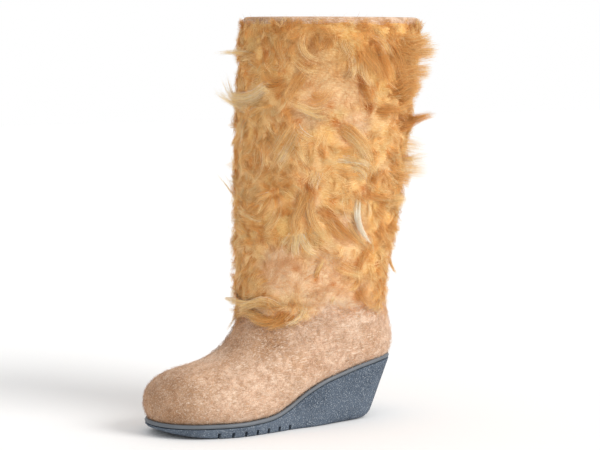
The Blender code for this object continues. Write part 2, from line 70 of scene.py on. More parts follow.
# Sizes of the sole, the welt and the insole
HEEL_HEIGHT = 0.0570
FOREFOOT_THICKNESS = 0.0095
TOE_SPRING = 0.006
TOE_BREAK = 0.80
HEEL_UNDERCUT = 0.0235
HEEL_REACH = 0.45
SIDE_TAPER = 0.0035
SOLE_CORNER = 0.0105
CORNER_LIMIT = 0.6
SOLE_EDGE = 0.0007
WELT_HEIGHT = 0.0052
SEAT_DEPTH = 0.0008
WELT_OVERHANG = 0.0032
WELT_DEPTH = 0.0045
WELT_JOINT = 0.0008
WELT_TOP = 0.0042
WELT_BULGE = 0.0007
GROOVE_WIDTH = 0.0028
GROOVE_DEPTH = 0.0055
GROOVE_PITCH = 0.0128
GROOVE_COUNT = 7
FIRST_GROOVE = 0.845
HEEL_GROOVE_COUNT = 4
HEEL_GROOVE_START = 0.16
HEEL_GROOVE_MARGIN = 0.012
INSOLE_THICKNESS = 0.004

# Sizes and numbers of the fur
FUR_HEM = 0.106
FUR_TOP = BOOT_HEIGHT - 0.005
MAT_THICKNESS = 0.0034
ROOT_LIFT = 0.003
FILLERS = 190
TUFTS = 44
TUFT_HAIRS = 125
CLUMPS = 1350
CLUMP_HAIRS = 16
NAP_FIBRES = 26000

# Steps of the meshes and of the map of the shaft
AROUND = 192
CAP_STEPS = 14
FOOT_STEPS = 8
LEG_STEPS = 64
RIM_STEPS = 9
INNER_STRIDE = 4
STATIONS = 110
MAT_COLUMNS = 224
MAT_ROWS = 134
LOCK_STEPS = 9
CURL_STEPS = 5
NAP_STEPS = 3
MAP_LOW = 0.085
MAP_HIGH = 0.3876
MAP_STEPS = 240
BOX_FACES = ((0, 3, 2, 1), (4, 5, 6, 7), (0, 1, 5, 4), (1, 2, 6, 5), (2, 3, 7, 6), (3, 0, 4, 7))

# Floor and light
FLOOR_SIDE = 6.0
FLOOR_SHADE = 0.93
AMBIENT = 0.80

# The seat is the line that the felt stands on, along the foot from the heel (0) to the toe (1).
# The second number is the share of the way from the forefoot's thickness to the heel's height.
SEAT_ROWS = (
    (-0.1, 1), (0, 1), (0.07, 0.985), (0.14, 0.935), (0.215, 0.86), (0.29, 0.76), (0.38, 0.64),
    (0.46, 0.455), (0.53, 0.235), (0.61, 0.07), (0.7, 0.015), (0.8, 0), (0.92, 0), (1.1, 0.01),
)

# Sections of the foot, from the toe cap back to the ankle.
# seat: where the section meets the seat, as a share of the foot's length
# climb: how far it starts up the back of the heel, as a share of the ankle's rise
# tuck: how far it starts ahead of the heel, as a share of the ankle's back
# vamp: where it meets the top line, as a share of the way from the ankle's front to the toe
# crown: height there, as a share of the way from the ball's top to the ankle
# centre: sideways shift of its middle, and half: half its width, as shares of the ball's width
# widest: height of its widest place, as a share of its own length
# low, top: powers of its lower and upper halves, 2 for an ellipse and more for a squarer one
FootRow = namedtuple("FootRow", "seat climb tuck vamp crown centre half widest low top")
FOOT_ROWS = (
    (0.88, 0, 0, 0.733, -0.075, -0.05, 0.455, 0.44, 3.4, 2.1),
    (0.79, 0, 0, 0.533, -0.01, -0.015, 0.5, 0.43, 3.8, 2.1),
    (0.7, 0, 0, 0.393, 0.06, 0.005, 0.495, 0.42, 4, 2.1),
    (0.58, 0, 0, 0.302, 0.15, 0.015, 0.47, 0.42, 4.2, 2.1),
    (0.45, 0, 0, 0.219, 0.25, 0.018, 0.455, 0.42, 4.2, 2.1),
    (0.32, 0, 0, 0.154, 0.365, 0.012, 0.45, 0.43, 4.2, 2.1),
    (0.19, 0, 0, 0.098, 0.49, 0.006, 0.45, 0.44, 4, 2.1),
    (0.085, 0, 0, 0.056, 0.61, 0.002, 0.455, 0.45, 3.6, 2.1),
    (0, 0.07, 0.4, 0.029, 0.73, 0, 0.465, 0.47, 2.9, 2.1),
    (0, 0.34, -0.2, 0.012, 0.85, 0, 0.48, 0.48, 2.4, 2.1),
    (0, 0.68, 0.35, 0.002, 0.95, 0, 0.495, 0.49, 2.2, 2.1),
)

# One section: its back and front points in the side view (along, up) and its cross shape
Section = namedtuple("Section", "back front centre half widest low top")

# How the hairs of a lock lie. wisp: hairs in one of its wisps. ends, lifts: ranges of how far the
# wisps reach and rise, as shares of the lock's. scatter: how loosely a wisp's hairs lie. vary: how
# much their tones differ.
Style = namedtuple("Style", "wisp ends lifts scatter vary")
LOOSE = Style(8, (0.66, 1.0), (0.6, 1.2), 0.42, 0.17)
STEADY = Style(8, (0.84, 1.0), (0.86, 1.08), 0.42, 0.17)
TIGHT = Style(16, (0.66, 1.0), (0.6, 1.2), 0.26, 0.06)

# The photograph's camera, as it was fitted to the boot: degrees round from the toe and up, metres
# from a focus inside the boot, the pixel that shows the focus and the pixels in a metre there
VIEW_AROUND = 54
VIEW_UP = 5
VIEW_DISTANCE = 1.9
VIEW_FOCUS = (0.0, 0.100, 0.200)
FOCUS_PIXEL = (425.8, 208.6)
FOCUS_SCALE = 1185

# How a pixel is met with the fur: lifts of the layers that are tried and how far one may lie under
# the least lift (mm), their columns, rows and heights, how far behind the plane of a place the
# camera may be (m), and how near a place comes to the pixel and beats a lower layer (pixels)
LAYER_LIFTS = (3, 5, 7, 9, 11, 13, 15, 18, 21, 24)
LAYER_SLACK = 1
LAYER_COLUMNS = 720
LAYER_ROWS = 290
LAYER_SPAN = (0.095, 0.385)
EYE_BEHIND = 0.02
NEAR_ENOUGH = 0.6
CLEARLY_NEARER = 0.3
SPOT_LIFT = 5

# A lock of fur. tone: 0 is orange-brown, 0.5 golden, 1 cream and more than that white. spread: how
# wide it is at its root. path: its points from root to tip, as (turn round the shaft from its back
# over the outer side, height, lift off the felt). fan: how wide its tips lie, as a share of spread.
Lock = namedtuple("Lock", "tone spread hairs path fan style", defaults=(0.7, LOOSE))

# A lock that the eye finds. points: pixels of the 600 by 450 photograph that it goes through, or
# over the instep the place itself, as (turn, height, lift) in thousandths of a turn and mm.
# low, high: its lift off the felt at the root and at the tip, in mm like its spread.
SeenLock = namedtuple("SeenLock", "tone spread hairs points low high fan style", defaults=(0.7, LOOSE))
SEEN_LOCKS = (
    # The cream crescent at the front edge and the wisps over it
    (1.04, 8, 229, ((332.5, 59.5), (316.25, 65.5), (301.25, 74.5), (285, 78), (272.5, 71.25),
     (265.5, 50)), 3, 13),
    (0.99, 8, 162, ((317.5, 72.5), (300, 82.5), (282.5, 86.25), (267.5, 80), (258, 65.5)), 3, 14),
    (0.94, 5, 74, ((311.25, 42.5), (302.5, 32.5), (287.5, 26.25), (270, 25), (257.5, 27)), 4, 12),
    (0.89, 4, 54, ((308.75, 46.25), (297.5, 37.5), (285, 32.5), (270, 31.25)), 4, 9),
    # Wisps down the front edge
    (0.89, 6, 81, ((295, 97.5), (288, 112.5), (287.5, 125), (285, 140)), 4, 9),
    (0.84, 5, 67, ((300, 107.5), (290.5, 120), (281.25, 130), (277, 141.25)), 4, 10),
    (0.94, 4, 47, ((292.5, 201.25), (277.75, 191), (266.25, 175), (255.25, 160)), 4, 18),
    (0.99, 5, 81, ((308.75, 218), (298, 215.5), (288, 209), (284, 199.5)), 4, 8),
    (0.94, 5, 74, ((318.75, 221.25), (305, 220.5), (292.5, 215.5), (284.5, 211.5)), 4, 8),
    (0.89, 5, 60, ((303.75, 241.25), (293.75, 236.25), (285, 228), (280, 220)), 4, 8),
    (0.84, 5, 60, ((302.5, 282.5), (292.5, 287.5), (285.5, 297.5), (286.5, 308)), 3, 7),
    (0.84, 5, 54, ((298.75, 268.75), (288.75, 273.75), (285, 283), (283, 290)), 3, 7),
    # Cream and golden locks at the hem in front
    (0.87, 9, 202, ((339.5, 331.25), (330, 322), (428, 123.1, 11), (295.5, 319.5), (281.25, 327)), 3, 11),
    (0.89, 6, 108, ((332.5, 325), (311.25, 318.5), (290.5, 317.5), (583, 122.1, 15)), 3, 15),
    (0.79, 7, 108, ((318.75, 335.5), (301.25, 330.5), (285.5, 328), (278, 332.5)), 3, 9),
    # Wisps and fans in the middle
    (0.94, 6, 108, ((391.25, 88), (375, 93), (357.5, 88), (341.25, 82.5)), 3, 5),
    (0.99, 5, 87, ((395.5, 100), (380, 100.5), (362.5, 94.5), (347, 90)), 3, 5),
    (0.6, 9, 121, ((366.25, 45), (355.5, 58), (345.5, 72.5), (337.5, 85.5)), 3, 5),
    (0.84, 12, 229, ((356.25, 106.25), (347.5, 117.5), (337.5, 135), (328.75, 152.5), (320.5, 170.5)),
     4, 6, 1),
    (1.01, 7, 121, ((353, 117.5), (343, 135), (334.25, 150), (325.5, 162.5)), 5, 7, 1),
    (0.94, 6, 101, ((353, 117.5), (355.5, 135), (361.25, 147.5), (373, 160.5)), 4, 6, 1),
    (0.94, 4, 60, ((353.75, 125), (350.5, 140), (352.5, 150), (355.5, 160)), 4, 6, 1),
    # The rosette of short golden locks
    (0.45, 4, 54, ((323.75, 186.25), (315, 180.5), (305.75, 175.5)), 3, 6),
    (0.5, 4, 54, ((323, 187.5), (313.75, 190), (304, 194.5)), 3, 6),
    (0.55, 4, 60, ((323.75, 188.75), (317.5, 200), (311.25, 212.5)), 3, 6),
    (0.5, 4, 54, ((325.5, 188.75), (328, 200), (327.5, 210.5)), 3, 6),
    (0.45, 4, 54, ((327, 187), (335, 193.75), (341.25, 200)), 3, 6),
    (0.45, 4, 54, ((326.25, 184.5), (333.75, 178.75), (341.25, 176.25)), 3, 6),
    (0.55, 4, 54, ((323.75, 183.75), (327.5, 175), (335, 166.25)), 3, 6),
    # The two long waves, and the pale fan that they end in
    (0.79, 8, 114, ((331.25, 200), (330.5, 212.5), (323, 225), (313, 233)), 4, 6),
    (0.6, 10, 189, ((367, 174.5), (363.5, 190), (356, 207.5), (350.5, 225), (351.5, 240.5)), 4, 6),
    (0.79, 8, 148, ((373, 185), (369, 205), (373, 225), (385.5, 239.5), (395.5, 247.5)), 4, 7),
    (1.06, 8, 175, ((355.5, 225), (352.5, 240), (350.25, 255), (351.5, 267)), 4, 7, 1),
    (1.06, 7, 162, ((358, 226.25), (360.5, 242.5), (368, 255), (380.75, 261.25)), 4, 7, 1),
    (0.94, 6, 108, ((363, 230), (375.5, 240), (388, 245), (397, 246.25)), 4, 6, 1),
    (0.94, 5, 67, ((351.25, 232.5), (343, 242.5), (338, 250), (340, 258)), 4, 6, 1),
    # A small spike and the masses behind the hem
    (0.84, 3.5, 81, ((376.5, 291.25), (378.5, 281.25), (381.75, 273), (384.5, 264)), 3, 8),
    (0.4, 13, 189, ((345.5, 325), (338, 335), (328, 342), (317.5, 344.5)), 2, 4),
    (0.5, 9, 135, ((331.25, 332.5), (320.5, 337.5), (310.5, 338), (298, 333)), 2, 5),
    # Pale sweeps over the outer side
    (0.68, 11, 216, ((398.75, 107.5), (415, 116.25), (430, 131.25), (441.25, 150)), 4, 8),
    (0.97, 8, 148, ((405.5, 112.5), (418, 125), (430.5, 140), (439, 155.5)), 5, 9),
    (1.06, 6, 128, ((395, 148.75), (415, 150), (430.5, 153), (442, 162)), 4, 8),
    (1.04, 5, 81, ((410.5, 156.25), (423, 160), (430.5, 166.25), (433.25, 174.25)), 4, 7),
    # Hanging wisps and the orange masses under the collar
    (0.99, 6, 101, ((415, 24.5), (418.75, 37.5), (417.75, 47.5), (415, 57)), 4, 7),
    (0.89, 6, 108, ((434, 22), (430, 40), (431.5, 51.25), (441.75, 66)), 5, 8),
    (0.42, 11, 175, ((445, 13.75), (455, 35), (462.5, 53), (470.5, 70.5)), 6, 11),
    (0.45, 12, 202, ((463, 7), (472.5, 27.5), (477.5, 47.5), (479.5, 65.5)), 6, 11),
    (0.5, 10, 148, ((427.5, 7.5), (435, 27.5), (447.5, 45), (455, 65.5)), 5, 9),
    # The next two, the darkest, lie along the shadow line and the shadow band under an overhanging mass:
    # painted shade.
    (0.15, 7, 108, ((427.5, 53), (433, 65.5), (437.5, 78), (440.5, 88.75)), 4, 6),
    (0.37, 9, 148, ((438.75, 93), (452.5, 95), (467.5, 93), (481.25, 88)), 4, 8),
    # The white lock and the thin one beside it
    (1.3, 4.4, 260, ((430.75, 191.5), (426.25, 207.5), (428.25, 225), (433, 237.5), (441.5, 248)),
     7, 11, 0.15, TIGHT),
    (1.09, 2, 40, ((436.5, 193.75), (439, 205), (440, 215), (437, 220.5)), 4, 8),
    # Curved locks under it
    (0.42, 5, 101, ((393, 212.5), (405, 226.25), (418.75, 240), (431.5, 251.5)), 4, 6),
    (0.87, 4, 81, ((415, 217), (419, 232.5), (427.5, 245), (438.25, 254)), 4, 6),
    (0.42, 6, 101, ((385, 214.5), (395, 230), (405.5, 240), (416.25, 245)), 3, 5),
    (0.65, 9, 148, ((427.5, 186.25), (441.25, 191.25), (458, 195), (476.25, 197)), 4, 7),
    # Tufts that stand out at the back edge
    (0.79, 11, 180, ((452.5, 200), (463.75, 198.75), (470.5, 197.5), (477, 194.5)), 4, 12, 1, STEADY),
    (0.6, 14, 360, ((475, 28.75), (492.5, 25), (511.75, 23)), 6, 18, 1, STEADY),
    (0.6, 13, 285, ((475, 17.5), (491.25, 13), (506.5, 6.75)), 6, 17, 1, STEADY),
    (0.58, 13, 285, ((470, 53.75), (487.5, 49.25), (505, 45.5)), 6, 17, 1, STEADY),
    (0.5, 12, 210, ((468.75, 65.5), (483.75, 63), (497, 61)), 5, 13, 1, STEADY),
    (0.22, 15, 480, ((471.25, 109.5), (487.5, 104.25), (507.5, 95)), 5, 17, 1, STEADY),
    (0.79, 13, 285, ((467.5, 128), (484.5, 133), (499.5, 136.5)), 5, 14, 1, STEADY),
    (0.84, 13, 285, ((466.25, 148), (485, 147.5), (503, 144.25)), 5, 15, 1, STEADY),
    (0.81, 13, 285, ((465, 160), (482.25, 159.75), (501.75, 160.75)), 5, 15, 1, STEADY),
    (0.68, 12, 195, ((462.5, 168), (473.75, 172), (482, 173.25)), 4, 10, 1, STEADY),
    (0.45, 16, 270, ((470, 15), (483.75, 22.5), (495, 27.5)), 5, 12, 1, STEADY),
    (0.42, 18, 330, ((467.5, 75), (480, 65), (491.25, 62.5)), 5, 12, 1, STEADY),
    (0.4, 15, 240, ((472.5, 82.5), (481.25, 75), (488.75, 72.5)), 5, 11, 1, STEADY),
    (0.6, 15, 210, ((460, 225), (466.25, 228.75), (470.5, 231.25)), 4, 9, 1, STEADY),
    # Short masses along the collar, and small ones elsewhere
    (0.4, 8, 121, ((315, 1.25), (316.25, 12.5), (320.5, 24.25)), 3, 5),
    (0.42, 9, 162, ((379.5, 0.5), (380, 12.5), (383.25, 26)), 3, 6),
    (0.5, 8, 108, ((395.5, 2), (390.5, 15), (385, 28)), 3, 5),
    (0.34, 4, 74, ((440.25, 7), (441.5, 15), (438.75, 22)), 4, 7),
    (0.6, 8, 108, ((330.5, 4.5), (333, 20), (338, 35.5)), 3, 5),
    (0.79, 8, 108, ((405.5, 4.5), (410.5, 20), (417.5, 33)), 3, 6),
    (0.38, 4, 67, ((363, 37.5), (368, 43), (373.5, 41.25), (374.5, 37.5)), 3, 5),
    (0.79, 7, 94, ((346.25, 24.5), (338.25, 37.5), (330.5, 50.5)), 3, 5),
    (0.99, 2.5, 40, ((395.25, 320.5), (395.75, 312.5), (398.5, 305.5)), 3, 6),
    # Two small tufts low at the back edge
    (0.55, 4, 45, ((447.5, 275), (452.5, 281.25), (455, 288.75)), 3, 8, 1, STEADY),
    (0.6, 4, 40, ((455, 240), (461.25, 243.75), (463.75, 247.5)), 3, 8, 1, STEADY),
)

# Patches where the fur is short and the felt shows through: (turn, height, size),
# with turns in thousandths of the way round and lengths in mm
BARE_ROWS = (
    (345, 345, 30), (300, 318, 26), (345, 300, 20), (265, 285, 18), (385, 150, 28), (300, 140, 30),
    (240, 118, 30), (345, 215, 14), (250, 190, 18), (700, 200, 30), (820, 300, 32), (50, 150, 28),
    (900, 180, 26), (620, 320, 26),
)

# Orange-brown spots where tufts are rooted: (pixel across, pixel down, size in mm)
SEEN_SPOTS = (
    (394, 87.5, 5.7), (426.25, 310.5, 8), (398, 296, 4.6), (427.5, 268.75, 5.7), (353, 278, 5.7),
    (331.5, 40, 4.6), (396.25, 200, 5.7), (433, 183.75, 5.7), (358.75, 175, 5.7), (323.75, 186.25, 6),
    (477.5, 106.25, 8), (337.5, 332.5, 8), (365, 40, 5), (381.25, 15, 8), (398.75, 107.5, 6),
    (315, 20, 7), (430, 53.75, 5), (366.25, 175, 6), (393.75, 212.5, 5), (445, 13.75, 7),
    (355, 106.25, 5), (450, 272.5, 6), (376.75, 291.25, 5), (330, 75, 5), (440, 87.5, 6),
)


def colour(red, green, blue):
    """A colour as the eye reads it, from 0 to 255, as the shader's linear numbers."""
    share = np.array([red, green, blue]) / 255
    return np.where(share <= 0.04045, share / 12.92, ((share + 0.055) / 1.055) ** 2.4)


FELT_PINK = colour(231, 200, 174)
FELT_TAN = colour(169, 126, 90)
FELT_WARM = colour(203, 153, 110)
FELT_PALE = colour(249, 232, 213)
HAIR_BROWN = colour(182, 113, 48)
HAIR_RUST = colour(196, 114, 40)
HAIR_ORANGE = colour(216, 151, 77)
HAIR_GOLD = colour(236, 184, 106)
HAIR_CREAM = colour(255, 234, 180)
HAIR_WHITE = colour(255, 250, 236)
FUZZ_LOW = colour(228, 188, 150)
FUZZ_TOP = colour(204, 156, 102)
RUBBER_GREY = colour(82, 93, 107)
RUBBER_DARK = colour(55, 66, 80)
RUBBER_SPECK = colour(190, 198, 204)
WELT_GREY = colour(103, 109, 116)


def blend(first, second, share):
    """The first value, moved towards the second by a share."""
    return first + (second - first) * share


def smooth(x, xs, ys):
    """A smooth curve through a short table, by Catmull-Rom slopes."""
    xs = np.asarray(xs, float)
    ys = np.asarray(ys, float)
    slopes = np.gradient(ys, xs, axis=0)
    x = np.clip(np.asarray(x, float), xs[0], xs[-1])
    i = np.clip(np.searchsorted(xs, x, side="right") - 1, 0, len(xs) - 2)
    width = xs[i + 1] - xs[i]
    t = (x - xs[i]) / width
    if ys.ndim > 1:
        t = t[..., None]
        width = width[..., None]
    start = ys[i] * (2 * t**3 - 3 * t**2 + 1) + slopes[i] * width * (t**3 - 2 * t**2 + t)
    end = ys[i + 1] * (3 * t**2 - 2 * t**3) + slopes[i + 1] * width * (t**3 - t**2)
    return start + end


def ease(x, low, high):
    """0 below low, 1 above high and a smooth step between."""
    t = np.clip((np.asarray(x, float) - low) / (high - low), 0, 1)
    return t * t * (3 - 2 * t)


def lattice(cell, seed):
    """A repeatable number from -1 to 1 for each cell of a lattice."""
    mixed = cell[..., 0] * 73856093 ^ cell[..., 1] * 19349663 ^ cell[..., 2] * 83492791
    mixed = (mixed ^ (seed * 668265263)) & 0x7FFFFFFF
    mixed = ((mixed ^ (mixed >> 15)) * 2246822519) & 0x7FFFFFFF
    mixed = ((mixed ^ (mixed >> 13)) * 3266489917) & 0x7FFFFFFF
    return mixed / 0x3FFFFFFF - 1


def lumps(points, size, seed):
    """Smooth noise from -1 to 1, with lumps of about the given size."""
    scaled = np.asarray(points, float) / size + 31.7 * seed
    cell = np.floor(scaled).astype(np.int64)
    part = scaled - cell
    part = part * part * (3 - 2 * part)
    total = np.zeros(scaled.shape[:-1])
    for corner in np.ndindex(2, 2, 2):
        share = np.prod(np.where(corner, part, 1 - part), axis=-1)
        total += share * lattice(cell + np.array(corner), seed)
    return total


def unit(vectors):
    length = np.linalg.norm(vectors, axis=-1, keepdims=True)
    return vectors / np.maximum(length, 1e-12)


# The body


def wedge_top(along):
    """Height of the wedge's top at a distance from the heel."""
    rows = np.array(SEAT_ROWS)
    rise = smooth(np.asarray(along) / FOOT_LENGTH, rows[:, 0], rows[:, 1])
    return FOREFOOT_THICKNESS + rise * (HEEL_HEIGHT - FOREFOOT_THICKNESS)


def seat(along):
    """Height of the felt's underside, which is pressed a little way into the wedge."""
    return wedge_top(along) - SEAT_DEPTH


def along_of(points):
    return FOOT_LENGTH / 2 - points[..., 1]


def ankle_height():
    return float(seat(0.0)) + ANKLE_RISE


def foot_section(row):
    ankle_front = ANKLE_BACK + ANKLE_DEPTH
    back_along = row.seat * FOOT_LENGTH + row.tuck * ANKLE_BACK
    front_along = ankle_front + row.vamp * (FOOT_LENGTH - ankle_front)
    ball_top = FOREFOOT_THICKNESS + BALL_HEIGHT
    return Section(
        (back_along, float(seat(back_along)) + row.climb * ANKLE_RISE),
        (front_along, ball_top + row.crown * (ankle_height() - ball_top)),
        row.centre * BALL_WIDTH,
        row.half * BALL_WIDTH,
        row.widest,
        row.low,
        row.top,
    )


def leg_section(up):
    """A level section of the shaft, up from the ankle (0) to the collar (1)."""
    grow = up * (1.6 - 0.6 * up)
    depth = ANKLE_DEPTH + (SHAFT_DEPTH - ANKLE_DEPTH) * grow
    width = ANKLE_WIDTH + (SHAFT_WIDTH - ANKLE_WIDTH) * grow
    middle = ANKLE_BACK + ANKLE_DEPTH / 2 - SHAFT_LEAN * up
    height = ankle_height() + up * (BOOT_HEIGHT - ankle_height())
    return Section(
        (middle - depth / 2, height), (middle + depth / 2, height), 0.0, width / 2, 0.5, 2.1, 2.1
    )


def cap_sections(first, second):
    """The toe cap, which closes in front of the first foot section like the end of an egg."""
    tip_up = first.back[1] + TOE_TIP * (first.front[1] - first.back[1])
    step_ahead = first.back[0] - second.back[0]
    narrowing = (first.half - second.half) / step_ahead
    sinking = (first.front[1] - second.front[1]) / (first.front[0] - second.front[0])
    turning = (first.centre - second.centre) / step_ahead
    for step in range(1, CAP_STEPS + 1):
        angle = math.pi / 2 * (1 - (step - 0.5) / CAP_STEPS)
        ahead = TOE_CAP_LENGTH * math.sin(angle)
        shrink = math.cos(angle)
        low = tip_up - (tip_up - first.back[1]) * shrink**0.25
        high = tip_up + (first.front[1] - tip_up) * shrink**0.9 + sinking * ahead * shrink
        yield Section(
            (first.back[0] + ahead, low),
            (first.front[0] + ahead, high),
            first.centre + turning * ahead,
            (first.half + narrowing * ahead) * shrink**0.9,
            first.widest,
            2.1 + (first.low - 2.1) * shrink,
            first.top,
        )


def all_sections():
    """Every section from the toe to the collar."""
    foot = [foot_section(FootRow(*row)) for row in FOOT_ROWS]
    rows = foot + [leg_section(0), leg_section(1 / 6)]
    flat = np.array([[*s.back, *s.front, *s[2:]] for s in rows])
    between = np.linspace(0, len(foot), len(foot) * FOOT_STEPS + 1)
    smoothed = smooth(between, np.arange(len(rows)), flat)
    body = [Section((v[0], v[1]), (v[2], v[3]), *v[4:]) for v in smoothed]
    leg = [leg_section(up) for up in np.linspace(0, 1, LEG_STEPS + 1)[1:]]
    return list(cap_sections(body[0], body[FOOT_STEPS])) + body + leg


def section_loop(section):
    """Points round a section, from its back over the outer side to its front and round again."""
    angle = np.linspace(0, 2 * math.pi, AROUND, endpoint=False)
    height = -np.cos(angle)
    side = np.sin(angle)
    power = np.where(height < 0, 2 / section.low, 2 / section.top)
    reach = np.where(height < 0, section.widest, 1 - section.widest)
    share = section.widest + np.sign(height) * np.abs(height) ** power * reach
    across = section.centre + np.sign(side) * np.abs(side) ** power * section.half
    line = blend(np.array(section.back), np.array(section.front), share[:, None])
    return np.column_stack([across, FOOT_LENGTH / 2 - line[:, 0], line[:, 1]])


def neighbours(values):
    """The sum of the values on either side of each one, round a closed row."""
    return np.roll(values, 1, axis=-2) + np.roll(values, -1, axis=-2)


def grid_normals(grid):
    """Outward unit normals of rows of points that go from the toe to the collar."""
    along = np.gradient(grid, axis=0)
    around = np.roll(grid, -1, axis=1) - np.roll(grid, 1, axis=1)
    normals = unit(np.cross(along, around))
    for _ in range(2):
        normals[1:-1] = unit(normals[:-2] + 2 * normals[1:-1] + normals[2:])
        normals = unit(2 * normals + neighbours(normals))
    return normals


BODY = np.array([section_loop(section) for section in all_sections()])
BODY_NORMALS = grid_normals(BODY)


class ShaftMap:
    """The outer face of the shaft, looked up by turn and height."""

    def __init__(self):
        self.heights = np.linspace(MAP_LOW, MAP_HIGH, MAP_STEPS)
        self.points = self.levelled(BODY)
        self.normals = unit(self.levelled(BODY_NORMALS))
        ring = np.roll(self.points, -1, axis=1) - self.points
        self.girths = np.linalg.norm(ring, axis=2).sum(axis=1)

    def levelled(self, grid):
        """The body's values at the map's heights, column by column."""
        values = np.zeros((MAP_STEPS, AROUND, 3))
        for column in range(AROUND):
            start = int(np.argmin(BODY[: len(BODY) // 2, column, 2]))
            rising = BODY[start:, column, 2]
            for axis in range(3):
                values[:, column, axis] = np.interp(self.heights, rising, grid[start:, column, axis])
        return values

    def girth(self, height):
        return np.interp(height, self.heights, self.girths)

    def look_up(self, turn, height):
        """Points of the felt's outer face and its normals there."""
        column = (np.asarray(turn) % 1.0) * AROUND
        row = (np.asarray(height) - MAP_LOW) / (MAP_HIGH - MAP_LOW) * (MAP_STEPS - 1)
        inside = np.clip(row, 0, MAP_STEPS - 1.001)
        left = np.floor(column).astype(int) % AROUND
        right = (left + 1) % AROUND
        low = np.floor(inside).astype(int)
        u = (column - np.floor(column))[..., None]
        v = (inside - low)[..., None]

        def mixed(values):
            below = blend(values[low, left], values[low, right], u)
            above = blend(values[low + 1, left], values[low + 1, right], u)
            return blend(below, above, v)

        points = mixed(self.points)
        points[..., 2] += (row - inside) * (MAP_HIGH - MAP_LOW) / (MAP_STEPS - 1)
        return points, unit(mixed(self.normals))

    def place(self, turn, height, lift):
        """Points that lift off the felt, and its normals under them."""
        points, normals = self.look_up(turn, height)
        return points + np.asarray(lift)[..., None] * normals, normals


SHAFT = ShaftMap()


class Photograph:
    """The photograph's camera, which finds the place in the fur that a pixel shows."""

    def __init__(self):
        around = math.radians(VIEW_AROUND)
        up = math.radians(VIEW_UP)
        level = math.cos(up)
        self.way = np.array([math.sin(around) * level, -math.cos(around) * level, math.sin(up)])
        self.right = np.array([math.cos(around), math.sin(around), 0.0])
        self.eye = np.array(VIEW_FOCUS) + VIEW_DISTANCE * self.way
        self.layers = [self.layer(lift) for lift in LAYER_LIFTS]

    def shown(self, points):
        """The pixels that show some points."""
        seen = points - self.eye
        scale = -FOCUS_SCALE * VIEW_DISTANCE / (seen @ self.way)
        across = FOCUS_PIXEL[0] + scale * (seen @ self.right)
        down = FOCUS_PIXEL[1] - scale * (seen @ np.cross(self.way, self.right))
        return np.stack([across, down], axis=-1)

    def layer(self, lift):
        """A fine grid of places that lift off the felt and face the camera, and their pixels."""
        columns = np.arange(LAYER_COLUMNS) / LAYER_COLUMNS
        turn, height = np.meshgrid(columns, np.linspace(*LAYER_SPAN, LAYER_ROWS))
        points, normals = SHAFT.place(turn, height, np.full(turn.shape, lift / 1000))
        facing = ((self.eye - points) * normals).sum(axis=-1) > -EYE_BEHIND
        return lift, self.shown(points[facing]), turn[facing], height[facing]

    def find(self, across, down, least):
        """Turn, height and lift (mm) in the lowest layer that meets a pixel, or comes nearest."""
        best = (math.inf, 0, 0, 0)
        for lift, pixels, turn, height in self.layers:
            if lift < least - LAYER_SLACK:
                continue
            gaps = np.hypot(pixels[:, 0] - across, pixels[:, 1] - down)
            k = int(np.argmin(gaps))
            if gaps[k] < best[0] - CLEARLY_NEARER:
                best = (gaps[k], round(turn[k], 3), round(height[k], 4), lift)
            if gaps[k] < NEAR_ENOUGH:
                break
        return best[1:]

    def lock(self, seen):
        """A lock through the places of its points; a steady one stands out more at its tip."""
        path = []
        for point, share in zip(seen.points, np.linspace(0, 1, len(seen.points))):
            if len(point) == 3:
                path.append(np.array(point) / 1000)
                continue
            least = blend(seen.low, seen.high, share**1.3)
            turn, height, lift = self.find(*point, least)
            grow = 1 + 0.25 * share if seen.style is STEADY else 1
            path.append((turn, height, round(max(least, lift) * grow, 1) / 1000))
        return Lock(seen.tone, seen.spread / 1000, seen.hairs, np.array(path), seen.fan, seen.style)


PHOTOGRAPH = Photograph()
LOCKS = [PHOTOGRAPH.lock(SeenLock(*row)) for row in SEEN_LOCKS]
LISTED = np.array([lock.path[:, :2].mean(axis=0) for lock in LOCKS])
ROOT_SPOTS = [(*PHOTOGRAPH.find(x, y, SPOT_LIFT)[:2], size / 1000) for x, y, size in SEEN_SPOTS]
BARE_PATCHES = np.array(BARE_ROWS) / 1000


# Meshes


def new_object(name, data):
    """An object in the scene that shows a mesh, a light or a camera."""
    made = bpy.data.objects.new(name, data)
    bpy.context.scene.collection.objects.link(made)
    return made


def make_mesh(name, points, face_sets, material, replaces):
    """A new piece from arrays: each set of faces is an array of corners, one row a face."""
    points = np.asarray(points, np.float32).reshape(-1, 3)
    corners = np.concatenate([np.asarray(f, np.int32).ravel() for f in face_sets])
    sizes = np.concatenate([np.full(len(f), np.shape(f)[1]) for f in face_sets])
    starts = np.concatenate([[0], np.cumsum(sizes)[:-1]]).astype(np.int32)
    mesh = bpy.data.meshes.new(name)
    mesh.vertices.add(len(points))
    mesh.vertices.foreach_set("co", points.ravel())
    mesh.loops.add(len(corners))
    mesh.loops.foreach_set("vertex_index", corners)
    mesh.polygons.add(len(sizes))
    mesh.polygons.foreach_set("loop_start", starts)
    mesh.update(calc_edges=True)
    mesh.shade_smooth()
    mesh.materials.append(material)
    piece = new_object(name, mesh)
    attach(piece, "root")
    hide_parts(replaces)
    return piece


def add_tint(piece, tints):
    """A colour for each point of the mesh, which its material reads."""
    layer = piece.data.color_attributes.new("tint", "FLOAT_COLOR", "POINT")
    values = np.ones((len(piece.data.vertices), 4), np.float32)
    values[:, :3] = tints.reshape(-1, 3)
    layer.data.foreach_set("color", values.ravel())


def tube_faces(rows, count):
    """Quads between rows of points that run round a tube, facing out."""
    row = np.arange(rows - 1)[:, None] * count
    here = np.arange(count)[None, :]
    after = (here + 1) % count
    quads = [row + here, row + after, row + count + after, row + count + here]
    return np.stack(quads, axis=-1).reshape(-1, 4)


